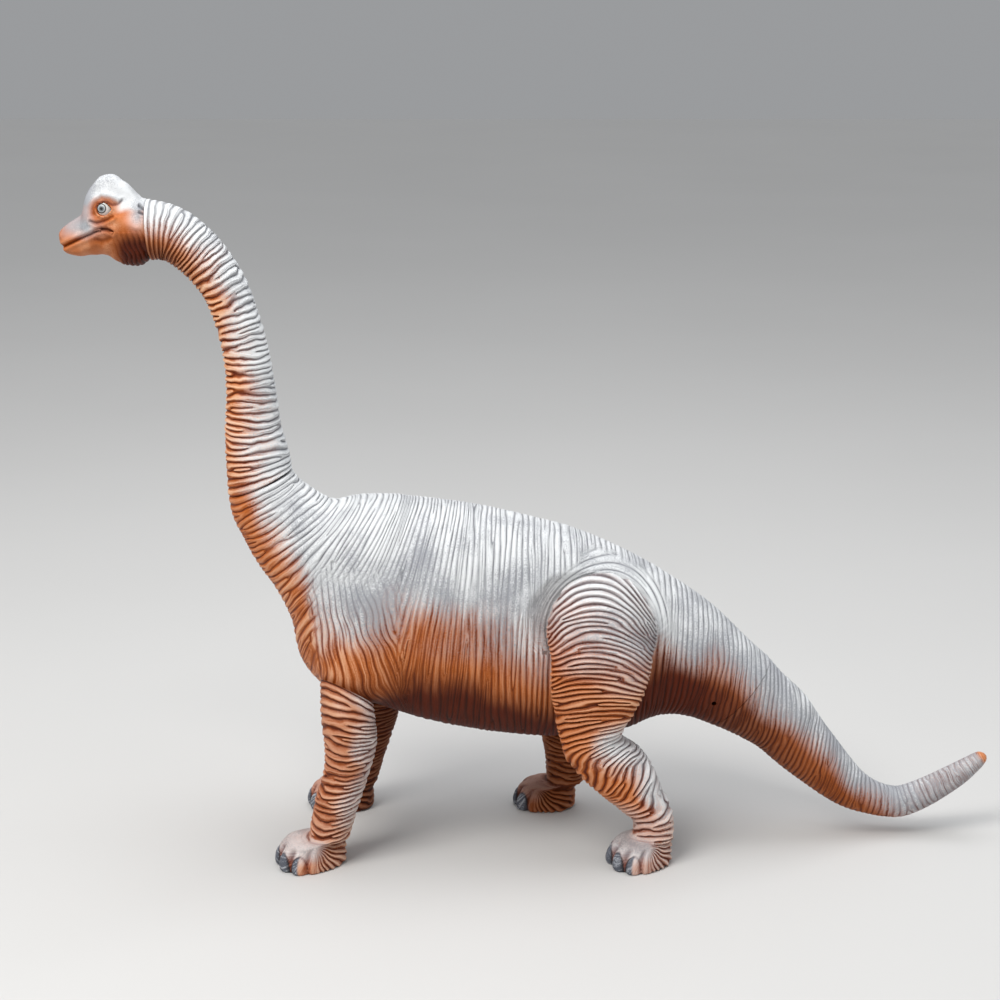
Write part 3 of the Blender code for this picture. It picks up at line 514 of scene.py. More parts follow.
# swells the skin over a round bar inside each shoulder, by a search along each ray
def growShoulders(rings, read):
    middle = read[:, None, 0:3]
    ray = rings - middle
    reach = np.linalg.norm(ray, axis=-1)
    ray = ray / reach[..., None]
    small = np.minimum(read[:, 9], read[:, 10])[:, None]
    low, high = reach.copy(), reach * 2
    for _ in range(16):
        tried = (low + high) / 2
        point = middle + ray * tried[..., None]
        gap = (tried / reach - 1) * small
        for name in foreLegs:
            seat, inward, _ = (np.array(v) for v in seats[name])
            start = seat + inward * shoulder["into"]
            end = np.array((seat[0] + shoulder["forward"], seat[1] * shoulder["narrow"], shoulder["top"]))
            run = end - start
            share = np.clip(((point - start) @ run) / (run @ run), 0, 1)
            bar = np.linalg.norm(point - start - share[..., None] * run, axis=-1) - shoulder["radius"]
            overlap = np.maximum(shoulder["soft"] - np.abs(gap - bar), 0) / shoulder["soft"]
            gap = np.minimum(gap, bar) - overlap ** 2 * 2
        inside = gap < 0
        low, high = np.where(inside, tried, low), np.where(inside, high, tried)
    return middle + ray * low[..., None]


# the flank rolls in round each hip, so the thigh lies in a soft crease
def sinkHips(rings):
    for name in hindLegs:
        seat, inward, _ = (np.array(v) for v in seats[name])
        out = -(rings - seat) @ inward
        away = np.linalg.norm(rings - seat + out[..., None] * inward, axis=-1)
        allowed = 1.2 + np.maximum(away - torso["hipCut"], 0) * 0.85
        over = np.maximum(out - allowed, 0) * ease(40, 34, away) * (out > -20)
        rings = rings + over[..., None] * inward
    return rings


def makeTorso(material):
    table = []
    last = len(torsoRows) - 1
    front, base = seats["neck"][0][0], seats["tail"][0][2]
    for i, (along, height, deep, wide, lean) in enumerate(torsoRows):
        middle = (front + along * torso["length"], 0, base + height * torso["rise"])
        square = 2 + 0.3 * sin(pi * i / last)
        table.append((*middle, sin(radians(lean)), 0, cos(radians(lean)), 0, 1, 0,
                      deep * torso["depth"] / 2, wide * torso["width"] / 2, square, 0))
    rings, length, angle, read = sweep(table, torso["rings"], torso["sides"])
    rings = growShoulders(rings, read)
    normals = outward(rings)
    x, y, z = (rings[..., k] for k in range(3))
    low = coatHeight(x) - z

    marks = countFolds(length, angle, torso["pitch"], 7, 0.35, 0.7, 11, last=48)
    flank = ease(6, 14, np.abs(y))
    # ribs stand more upright than the body's own cross sections
    rise = ((rings - read[:, None, 0:3]) * read[:, None, 3:6]).sum(-1)
    along = read[:, 0:1]
    upright = np.interp(along, *zip(*torsoUpright)) * rise + 0.0012 * ease(45, 75, along) * rise ** 2
    shiftFolds(marks, upright)
    shiftFolds(marks, np.clip((length - length.max() + 40) / 40, 0, 1))
    # ribs that fan down over the shoulder and meet the flank's in a crease
    crease = -69.6 + (130 - z) * 0.152 + 1.5 * hills(z / 7, z * 0, 90, 16)
    spread = ease(crease - 25, crease, x) * ease(crease + 5.5, crease, x) * ease(122, 80, z) * flank
    lean = ease(-116, -100, x) * ease(-84, -98, x) * ease(140, 105, z) * ease(82, 100, z)
    shiftFolds(marks, -2.3 * spread)
    shiftFolds(marks, 0.8 * (lean * ease(3, 22, np.abs(y))))
    marks["split"] = np.maximum(marks["split"], 0.8 * spread)
    patch = ease(-99, -92, x + hills(z / 6, z * 0, 90, 20)) * ease(-57, -63, x) * ease(138, 122, z) * flank
    fan = x + (0.1 + 0.22 * ease(-94, -72, x)) * (z - 105)
    layFolds(marks, patch, fan / 3.1 + 0.5 * hills(x / 9, z / 9, 90, 19))
    # arcs that follow the thighs' upper edges
    for name in hindLegs:
        seat = seats[name][0]
        away = np.hypot(x - seat[0], z - seat[2])
        arc = ease(32, 28, away + 2.5 * hills(x / 5, z / 5, 90, 18)) * ease(96, 112, z)
        arc = arc * ease(5, 13, y * np.sign(seat[1]))
        layFolds(marks, arc, away / 2.4)
        patch = patch + arc
    # worn smooth along the back and more so on the flank
    band = bell(z - 117 + 0.12 * x, 11) * ease(-86, -60, x) * ease(60, 20, x)
    back = ease(-104, -84, x)
    marks["calm"] = 0.2 * back + 0.38 * band + 0.15 * back * ease(0, 20, low)
    # and where one run of ribs gives way to another
    marks["calm"] = np.maximum(marks["calm"], 2 * patch * (1 - patch))
    depth = torso["furrow"] * (0.85 + 0.3 * hillsRound(length, angle, 17, 9, 15))
    depth = depth * (1 + 0.5 * ease(-84, -104, x))
    rings = sinkHips(pressFolds(rings, normals, marks, depth))

    # paint: frost is the grey coat, deep the dark brown of the underside, partly brown paint and partly
    # painted shade, and the pale mark on the tops of the folds is partly dry-brushed paint and partly a
    # painted highlight
    noise = 6 * hills(x / 16, z / 16, 50, 21)
    rear = ease(20, 60, x)
    marks["frost"] = 1 - ease(-17 + 4 * rear, 17 - 10 * rear, low + noise)
    # the coat is painted less grey round each hip, to lighten the shade in the hip's crease: painted light
    hip = ease(46, 30, np.hypot(x - 27, z - 106))
    marks["dull"] = ease(-42, -4, low + noise) * ease(-110, -70, x) * (1 - 0.8 * hip)
    marks["deep"] = ease(14 - 24 * rear, 37 - 27 * rear, low + noise * 0.5) * ease(-100, -72, x) * dusk(x)
    pale = (0.4 + 0.35 * ease(-50, -85, x)) * (1 - 0.5 * ease(-108, -118, x))
    marks["dryBrushAndHighlight"] = pale * (1 - marks["deep"])
    skin = makeSkin("torso_skin", rings, marks, material)
    bosses = [(*seats[n][:2], 0.02, 13, seats[n][2]) for n in hindLegs]
    carve(skin, makeTool("bosses", bosses), "UNION")
    cuts = [(*seats[n][:2], -26, 0.02, torso["hipCut"]) for n in hindLegs]
    cuts += [(*seats[n][:2], -13, 0.02, torso["shoulderCut"]) for n in foreLegs]
    carve(skin, makeTool("cuts", cuts), "DIFFERENCE")
    vent = [(torso["vent"], (0, 1, 0), -30, 8, torso["ventRadius"])]
    carve(skin, makeTool("vent", vent), "DIFFERENCE")
    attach(skin, "torso")
    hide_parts("torso")
    print("torso skin made,", len(skin.data.polygons), "faces")


# Neck and tail: two tubes on a curved run
neck = {"reach": 43.2, "rise": 109.6, "rings": 500, "sides": 120, "pitch": 3.0, "furrow": 0.95}
neckRows = (  # reach, rise, girth
    (0.000, 0.000, 1.000),
    (0.019, 0.102, 0.934),
    (0.049, 0.200, 0.841),
    (0.063, 0.365, 0.722),
    (0.106, 0.529, 0.662),
    (0.201, 0.682, 0.649),
    (0.329, 0.803, 0.675),
    (0.542, 0.912, 0.728),
    (0.796, 0.985, 0.790),
    (1.000, 1.000, 0.861),
)
tail = {"reach": 112.6, "drop": 68.9, "rings": 500, "sides": 110, "pitch": 2.6, "furrow": 0.5}
tailRows = (  # reach, height, girth
    (0.000, 1.000, 1.000),
    (0.081, 0.904, 0.875),
    (0.160, 0.808, 0.810),
    (0.227, 0.684, 0.735),
    (0.292, 0.572, 0.665),
    (0.363, 0.456, 0.585),
    (0.425, 0.361, 0.515),
    (0.485, 0.293, 0.448),
    (0.544, 0.250, 0.393),
    (0.607, 0.222, 0.365),
    (0.676, 0.222, 0.350),
    (0.774, 0.292, 0.320),
    (0.886, 0.405, 0.265),
    (0.951, 0.486, 0.200),
    (0.974, 0.517, 0.165),
    (0.989, 0.535, 0.115),
    (0.996, 0.545, 0.045),
)


# a tube's table from its row of middles, square to its run and to the seats at its ends
def tubeTable(middles, radii, startAxis, endAxis):
    fade = 6
    run = unit(np.gradient(middles, axis=0))
    steps = np.arange(len(middles))
    pull = np.maximum(0, 1 - steps / fade)[:, None]
    run = unit(run * (1 - pull) + np.array(startAxis) * pull)
    if endAxis is not None:
        pull = np.maximum(0, 1 - (len(middles) - 1 - steps) / fade)[:, None]
        run = unit(run * (1 - pull) + np.array(endAxis) * pull)
    side = np.tile((0.0, 1.0, 0.0), (len(middles), 1))
    up = unit(np.cross(run, side))
    up = up * np.sign(up[len(up) // 3, 2] + 1e-9)
    flat = np.ones((len(middles), 1))
    return np.hstack([middles, up, side, radii[:, None], radii[:, None], flat * 2, flat * 0])


def makeNeck(material):
    rows = readRows(neckRows, np.linspace(0, len(neckRows) - 1, 43))
    seat, inward, radius = (np.array(v) for v in seats["neck"])
    middles = seat + np.stack([-rows[:, 0] * neck["reach"], rows[:, 0] * 0, rows[:, 1] * neck["rise"]], 1)
    middles[0] -= inward * 0.3
    radii = rows[:, 2] * radius
    radii[-1] = seats["head"][2]
    table = tubeTable(middles, radii, -inward, -np.array(seats["head"][1]))
    rings, length, angle, read = sweep(table, neck["rings"], neck["sides"])
    normals = outward(rings)
    marks = countFolds(length, angle, neck["pitch"], 6, 0.4, 0.95, 31, sparse=1.3)
    # finer rings behind the head
    end = length.max()
    shiftFolds(marks, 3 * np.clip((length - end + 27) / 27, 0, 1))
    back = np.cos(angle)
    marks["lit"] = np.full_like(back, -0.8)
    high = ease(end - 34, end - 6, length)
    marks["calm"] = high * (0.35 + 0.15 * ease(0.3, -0.4, back))
    depth = neck["furrow"] * (0.85 + 0.25 * hillsRound(length, angle, 15, 6, 35))
    depth = depth * (0.75 + 0.45 * ease(0.3, -0.6, back))
    rings = pressFolds(rings, normals, marks, depth)
    noise = 0.35 * hillsRound(length, angle, 9, 7, 37)
    marks["frost"] = ease(-0.8 + 0.55 * high, 0.95 - 0.1 * high, back + noise * (1 - 0.5 * high))
    # darker brown under the neck behind the head, partly painted shade
    marks["deep"] = 0.75 * ease(end - 40, end - 8, length) * ease(0.3, -0.7, back)
    marks["dryBrushAndHighlight"] = (1 - 0.7 * marks["deep"]) * (1 - 0.6 * high)
    skin = makeSkin("neck_skin", rings, marks, material)
    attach(skin, "neck")
    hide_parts("neck")
    print("neck skin made")


def makeTail(material):
    rows = readRows(tailRows, np.linspace(0, len(tailRows) - 1, 46))
    seat, inward, radius = (np.array(v) for v in seats["tail"])
    middles = np.stack([seat[0] + rows[:, 0] * tail["reach"], rows[:, 0] * 0, rows[:, 1] * tail["drop"]], 1)
    middles[0] -= inward * 0.3
    table = tubeTable(middles, rows[:, 2] * radius, -inward, None)
    rings, length, angle, read = sweep(table, tail["rings"], tail["sides"])
    normals = outward(rings)
    x = rings[..., 0]
    marks = countFolds(length, angle, tail["pitch"], 7, 0.25, 0.8, 41, True, 2.2)
    rise = ((rings - read[:, None, 0:3]) * read[:, None, 3:6]).sum(-1)
    upright = (0.218 * rise + 0.0012 * rise ** 2) * ease(165, 130, read[:, 0:1])
    shiftFolds(marks, upright)
    left = length.max() - length
    tip = ease(4.8, 2.4, left)
    marks["calm"] = 0.3 + 0.35 * ease(45, 10, left) + 0.3 * tip
    depth = tail["furrow"] * np.clip(read[:, 9:10] / 14, 0.35, 1) * (1 - tip)
    rings = pressFolds(rings, normals, marks, depth)
    z = rings[..., 2]
    # the same paint as on the torso's rear, so that it runs on across the seam
    noise = 6 * hills(x / 16, z / 16, 50, 21)
    low = coatHeight(x) - z
    last = ease(160, 182, x)
    marks["frost"] = (1 - ease(-13, 7, low + noise)) * (1 - tip) * (1 - 0.3 * last)
    marks["dull"] = np.maximum(ease(-42, -4, low + noise), 0.9 * last)
    # the dark brown underneath, partly painted shade, and darker towards the tail's end
    marks["deep"] = np.maximum(ease(-10, 10, low + noise * 0.5) * dusk(x), 0.6 * last) * (1 - tip)
    marks["dryBrushAndHighlight"] = 0.1 + 0.35 * tip
    skin = makeSkin("tail_skin", rings, marks, material)
    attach(skin, "tail")
    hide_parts("tail")
    print("tail skin made")


# Legs. Forward is from the seat to the ankle, and stance from the middle to the foot
stance = 32.5
fore = {
    "rings": 280, "sides": 180, "pitch": 2.7, "furrow": 1.1, "forward": 16.8,
    "footLength": 31.2, "footWidth": 26.2,
}
foreRows = (  # height, step forward, girth, share of the seat's slope
    (1.000, 0.000, 1.00, 1.00),
    (0.880, -0.008, 0.985, 0.66),
    (0.775, -0.020, 0.95, 0.38),
    (0.680, -0.030, 0.88, 0.20),
    (0.550, 0.020, 0.79, 0.06),
    (0.398, 0.140, 0.80, 0.00),
    (0.240, 0.240, 0.735, 0.00),
    (0.167, 0.295, 0.745, 0.00),
)
hind = {
    "rings": 340, "sides": 220, "pitch": 3.0, "furrow": 1.4, "forward": {-1: -17.7, 1: 22.6},
    "footLength": 29.0, "footWidth": 25.8,
}
# height, step forward, half depth, inner side, outer side, slope
thighRows = (
    (1.222, 0.00, 0.20, 0.62, 0.84, 0.0),
    (1.180, 0.00, 0.57, 0.60, 1.08, 0.0),
    (1.104, 0.00, 0.84, 0.66, 1.30, 0.0),
    (1.000, 0.00, 0.975, 0.76, 1.46, 0.0),
)
leftHindRows = thighRows + (  # this one stands back
    (0.896, 0.01, 0.900, 0.98, 1.58, 0.0),
    (0.792, 0.05, 0.850, 1.25, 1.66, 0.0),
    (0.684, 0.11, 0.715, 1.22, 1.68, 0.0),
    (0.590, 0.14, 0.590, 1.05, 1.66, 8.0),
    (0.516, 0.11, 0.551, 0.88, 1.62, 20.6),
    (0.434, -0.17, 0.584, 0.77, 1.58, 30.0),
    (0.360, -0.41, 0.535, 0.75, 1.54, 33.0),
    (0.270, -0.64, 0.425, 0.79, 1.49, 27.0),
    (0.208, -0.79, 0.372, 0.82, 1.47, 13.0),
    (0.150, -0.815, 0.370, 0.83, 1.48, 3.0),
    (0.119, -0.79, 0.395, 0.82, 1.50, 0.0),
)
rightHindRows = thighRows + (
    (0.896, 0.02, 0.900, 0.98, 1.58, 0.0),
    (0.792, 0.07, 0.850, 1.27, 1.66, 0.0),
    (0.684, 0.22, 0.730, 1.25, 1.68, -6.0),
    (0.560, 0.41, 0.600, 1.04, 1.64, -8.0),
    (0.440, 0.46, 0.515, 0.82, 1.58, -2.0),
    (0.340, 0.46, 0.460, 0.77, 1.53, 0.0),
    (0.250, 0.45, 0.400, 0.80, 1.50, 0.0),
    (0.170, 0.46, 0.372, 0.82, 1.49, 0.0),
    (0.125, 0.475, 0.378, 0.82, 1.50, 0.0),
)
hindRows = {-1: leftHindRows, 1: rightHindRows}
# by side, -1 is left: height, pitch of the folds, how much they bow, and their slope to the
# front in degrees
hindFolds = {
    -1: ((14, 2.7, 0, 0), (22, 2.7, 0, 12), (34, 2.9, 0, 40), (48, 2.9, 0, 38), (60, 2.8, 0.002, 20),
         (72, 2.9, 0.006, 4), (90, 2.8, 0.014, 0), (106, 2.6, 0.020, 0), (120, 2.4, 0.024, 0)),
    1: ((14, 2.6, 0, 0), (22, 2.5, 0, -8), (50, 2.5, 0, -14), (66, 2.8, 0.004, -6), (90, 2.8, 0.014, 0),
        (106, 2.6, 0.020, 0), (120, 2.4, 0.024, 0)),
}
# degrees round the foot, and millimetres
toes = {"splay": 20, "width": 36, "parting": 1.9, "nail": 8.0, "pleat": 10}
footRows = (  # height, middle, half length, half width
    (0.360, -0.085, 0.433, 0.400),
    (0.250, -0.026, 0.479, 0.450),
    (0.120, 0.000, 0.500, 0.490),
    (0.030, 0.000, 0.494, 0.49),
    (0.000, 0.000, 0.465, 0.46),
)


def footTable(foot, length, width, side):
    splay = radians(toes["splay"])
    ahead = np.array((-cos(splay), side * sin(splay), 0))
    across = np.array((side * sin(splay), cos(splay), 0))
    table = []
    for height, shift, halfLong, halfWide in footRows:
        middle = foot + ahead * (shift * length) + np.array((0, 0, height * length))
        table.append((*middle, *ahead, *across, halfLong * length, halfWide * width, 2.3, 1.0))
    return table


# toes parted round the front of the foot with nails on them, and pleats that fan from the ankle
def shapeFoot(rings, angle, read, side, foot, marks):
    turn = (angle + pi) % (2 * pi) - pi
    z = rings[..., 2]
    ray = rings - read[:, None, 0:3]
    onFoot = read[:, 12:13].clip(0, 1)
    across = unit(read[:, None, 6:9])
    wide = across * np.sum(ray * across, -1, keepdims=True)
    rings = rings + wide * (0.2 * np.cos(turn) * onFoot)[..., None]
    ray = ray / np.linalg.norm(ray, axis=-1, keepdims=True)
    front = ease(radians(80), radians(66), np.abs(turn)) * onFoot
    parting = np.abs(np.cos(pi * turn / radians(toes["width"]))) ** 4
    low = ease(12.5, 7.5, z) * onFoot
    toe = (turn / radians(toes["width"])) % 1 - 0.5
    nailTop = toes["nail"] * np.sqrt(np.clip(1 - (toe * 2.1) ** 2, 0, 1))
    cuticle = bell(z - nailTop, 0.6) * front
    inset = low * (toes["parting"] * parting * front) + 0.3 * cuticle
    inset = inset + 0.35 * front * ease(7.0, 9.5, z) * low
    dent = np.clip(0.8 * parting * front * low + 0.5 * cuticle, 0, 1)
    splay = radians(toes["splay"])
    ahead = (rings - foot) @ np.array((-cos(splay), side * sin(splay), 0))
    fan = np.arctan2(12.5 - z, 1.5 - ahead) + 0.05 * hills(turn * 3 + 40, z / 4, 60, 91)
    pleated = ease(12.5, 9.5, z)
    marks["phaseB"] = np.where(pleated > 0.02, fan / radians(toes["pleat"]), marks["phaseB"])
    marks["swap"] = np.maximum(marks["swap"] * (1 - pleated), pleated)
    smooth = ease(14.5, 11.5, z) * ease(radians(105), radians(72), np.abs(turn))
    marks["calm"] = smooth
    marks["dent"] = dent
    marks["claw"] = front * ease(nailTop + 0.8, nailTop - 0.2, z)
    marks["claw"] = marks["claw"] * ease(radians(56), radians(52), side * turn)
    return rings - ray * inset[..., None], smooth


def finishLeg(name, rings, marks, material):
    skin = makeSkin(name + "_skin", rings, marks, material)
    if "hind" in name:
        carve(skin, makeTool("face", [(*seats[name][:2], -0.3, 26, 27.5)]), "DIFFERENCE")
    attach(skin, name)
    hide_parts(name)
    print(name, "skin made")


# side is -1 for a left leg and 1 for a right one
def makeForeLeg(name, side, material):
    seat, inward, radius = (np.array(v, float) for v in seats[name])
    foot = np.array((seat[0] - fore["forward"], side * stance, 0))
    table = []
    for height, step, girth, slope in foreRows:
        middle = np.array((seat[0] - step * fore["footLength"], foot[1] + (seat[1] - foot[1]) * height,
                           height * seat[2]))
        if height == 1:
            middle = seat - inward * 0.3
        normal = unit(inward * slope + np.array((0, 0, 1)) * (1 - slope))
        across = unit(np.cross((-1, 0, 0), normal))
        ahead = unit(np.cross(normal, across))
        table.append((*middle, *ahead, *across, girth * radius, girth * radius, 2.0, 0.0))
    table += footTable(foot, fore["footLength"], fore["footWidth"], side)
    rings, length, angle, read = sweep(table, fore["rings"], fore["sides"])
    marks = countFolds(length, angle, fore["pitch"], 6, 0.4, 1.0, 51 + side, True)
    rings, smooth = shapeFoot(rings, angle, read, side, foot, marks)
    normals = outward(rings)
    z = rings[..., 2]
    marks["lit"] = 1 - smooth
    # the rings sag in the middle and rise towards the back
    aside = (rings[..., 0] - read[:, None, 0]) / 10
    shiftFolds(marks, 0.45 * (aside + 0.3) ** 2 * ease(4, 22, length) * ease(10, 18, z))
    depth = fore["furrow"] * (1 - smooth) * (0.85 + 0.25 * hillsRound(length, angle, 15, 5, 55))
    rings = pressFolds(rings, normals, marks, depth)
    noise = hillsRound(length, angle, 8, 6, 57)
    back = -np.cos(angle)
    marks["dull"] = marks["mist"] = 0.5 * smooth
    top = smooth * ease(3.5, 9, z)
    if side < 0:  # the side that the photograph shows is paler
        frost = (0.04 + 0.42 * ease(-0.2, 0.9, back + 0.5 * noise)) * ease(8, 30, z)
        marks["frost"] = np.clip(frost + 0.1 * ease(26, 12, z) + 0.6 * top, 0, 1)
        marks["deep"] = 0.28 * (1 - smooth)
        marks["dryBrushAndHighlight"] = 0.4 + 0.4 * ease(-0.6, 0.9, back + noise)
    else:
        # the right legs, on the far side, are painted darker, as painted shade
        marks["frost"] = 0.25 * top
        marks["deep"] = 0.9 * (1 - smooth)
        marks["dryBrushAndHighlight"] = 0.2
    finishLeg(name, rings, marks, material)


def makeHindLeg(name, side, material):
    seat, _, radius = seats[name]
    reach = abs(seat[1])
    foot = np.array((seat[0] - hind["forward"][side], side * stance, 0))
    table = []
    for height, shift, deep, inside, outside, slope in hindRows[side]:
        ahead = (-cos(radians(slope)), 0, -sin(radians(slope)))
        aside = side * (inside + outside) / 2 * reach
        middle = (seat[0] - shift * hind["footLength"], aside, height * seat[2])
        table.append((*middle, *ahead, 0, 1, 0, deep * radius, (outside - inside) / 2 * reach, 2.3, 0.0))
    table += footTable(foot, hind["footLength"], hind["footWidth"], side)
    rings, length, angle, read = sweep(table, hind["rings"], hind["sides"])
    bend = 0.1 + 0.3 * ease(6, 30, length)
    marks = countFolds(length, angle, hind["pitch"], 6, bend, 1.05, 61 + side, True, first=24)
    x, z = rings[..., 0], rings[..., 2]
    # arcs round the thigh that turn into rings square to the shin
    heights, pitches, bows, tilts = np.array(hindFolds[side]).T
    off = x - seat[0] + 3
    drop = np.interp(z, heights, bows) * (off ** 2 + 0.0006 * off ** 4)
    centre = np.interp(z, read[::-1, 2], read[::-1, 0])
    drop -= np.tan(np.radians(np.interp(z, heights, tilts))) * (x - centre)
    steps = np.linspace(-20, 160, 400)
    counted = np.cumsum(0.4511 / np.interp(steps, heights, pitches))
    counted = np.interp(z + drop, steps, counted)
    plain = length / length.max() * round(length.max() / hind["pitch"])
    shiftFolds(marks, -plain)
    shiftFolds(marks, -counted)
    rings, smooth = shapeFoot(rings, angle, read, side, foot, marks)
    normals = outward(rings)
    marks["lit"] = 1 - smooth
    depth = hind["furrow"] * (1 - smooth) * (0.85 + 0.25 * hillsRound(length, angle, 15, 5, 65))
    rings = pressFolds(rings, normals, marks, depth)
    noise = hillsRound(length, angle, 9, 6, 67)
    back = -np.cos(angle)
    frost = 0.88 * ease(80, 122, z + 6 * noise + 9 * back)
    marks["dull"] = 0.5 * smooth + 0.75 * ease(124, 100, z) * ease(70, 90, z)
    marks["mist"] = 0.5 * smooth
    top = smooth * ease(3.5, 9, z)
    if side < 0:
        shin = 0.88 * ease(72, 58, z) * ease(16, 34, z) * ease(-0.2, 0.75, back + 0.3 * noise)
        marks["frost"] = np.clip(frost + (shin + 0.3 * ease(34, 20, z)) + 0.5 * top, 0, 1)
        marks["deep"] = 0.3 * ease(104, 84, z) * ease(58, 74, z) * (1 - smooth)
        marks["dryBrushAndHighlight"] = 0.35 + 0.5 * ease(-0.5, 0.9, back + 0.5 * noise)
    else:
        # the right leg, on the far side, is painted darker, as painted shade
        marks["frost"] = np.clip(frost + 0.15 * top, 0, 1)
        marks["deep"] = 0.6 * ease(100, 80, z)
        marks["dryBrushAndHighlight"] = 0.2
    finishLeg(name, rings, marks, material)


# Head
head = {"rings": 300, "sides": 240, "length": 38.2, "height": 38.6, "width": 25.6, "drop": 15.3}
headRows = (  # along, top, bottom, mouth, crest, cheek, jaw
    (0.084, 0.749, 0.016, 0.40, 0.66, 1.00, 0.70),
    (0.175, 0.845, 0.000, 0.40, 0.51, 0.985, 0.66),
    (0.267, 0.933, 0.016, 0.40, 0.47, 0.95, 0.63),
    (0.356, 0.995, 0.054, 0.41, 0.47, 0.92, 0.63),
    (0.437, 1.000, 0.111, 0.42, 0.45, 0.88, 0.66),
    (0.513, 0.977, 0.132, 0.426, 0.43, 0.84, 0.64),
    (0.581, 0.915, 0.127, 0.396, 0.41, 0.78, 0.61),
    (0.647, 0.826, 0.122, 0.365, 0.43, 0.70, 0.58),
    (0.691, 0.718, 0.119, 0.345, 0.43, 0.64, 0.56),
    (0.733, 0.583, 0.117, 0.328, 0.39, 0.58, 0.55),
    (0.812, 0.516, 0.117, 0.292, 0.36, 0.55, 0.52),
    (0.882, 0.474, 0.132, 0.262, 0.33, 0.51, 0.47),
    (0.929, 0.440, 0.161, 0.243, 0.28, 0.44, 0.39),
    (0.963, 0.402, 0.262, 0.300, 0.20, 0.33, 0.28),
    (0.984, 0.372, 0.288, 0.316, 0.12, 0.21, 0.17),
    (0.992, 0.354, 0.305, 0.324, 0.04, 0.08, 0.07),
)
eye = {"x": -181.9, "z": 283.6, "back": 0.8, "down": 1.2, "out": 4.5, "radius": 5.0}
faceLines = {
    "mouth": ((-203, 266.3), (-199, 267.4), (-192.2, 270.6), (-187.6, 272.6), (-184.8, 274.1),
              (-181.9, 275.2), (-179.6, 275.1), (-177.6, 274.2)),
    "brow": ((-186.6, 283.0), (-185.1, 285.9), (-182.2, 288.6), (-178.6, 288.2), (-174.7, 286.4),
             (-172.9, 286.8)),
    "lid": ((-184.5, 284.2), (-184.0, 285.7), (-181.8, 286.6), (-179.9, 286.7), (-177.3, 285.5),
            (-174.7, 285.7), (-173.4, 286.8)),
    "bag": ((-186.5, 278.2), (-184.2, 277.6), (-181.9, 278.1), (-179.3, 279.2), (-177.0, 280.4)),
    "jowl": ((-184.6, 270.6), (-182.6, 269.9), (-180.6, 270.4), (-178.6, 271.6)),
    "earTop": ((-166.5, 284.3), (-165.2, 283.3)),
    "earFoot": ((-166.3, 281.9), (-165.0, 281.4)),
}


# twenty corners round the head: crown, brow, cheek, lips, jaw and throat, on both sides
def headRing(row):
    along, top, bottom, mouth, crest, cheek, jaw = row
    seat = seats["head"][0]
    x = seat[0] - along * head["length"]
    base = seat[2] - head["drop"]
    high, low, lips = (base + v * head["height"] for v in (top, bottom, mouth))
    half, tall = head["width"] / 2, high - low
    brow = high - tall * 0.34
    fall = 0.05 + 0.25 * float(ease(0.42, 0.55, along))
    side = ((0, high), (crest * half * 0.60, high - tall * 0.04), (crest * half, high - tall * 0.16),
            ((crest + (cheek - crest) * 0.75) * half, brow), (cheek * half, (brow + lips + 0.8) / 2),
            (cheek * half * 0.98, lips + 0.8), (cheek * half * 0.98, lips),
            ((cheek + (jaw - cheek) * fall) * half, lips - 0.8), (jaw * half, low + tall * 0.14),
            (jaw * half * 0.55, low + tall * 0.03), (0, low))
    return [(x, y, z) for y, z in side] + [(x, -y, z) for y, z in side[-2:0:-1]]


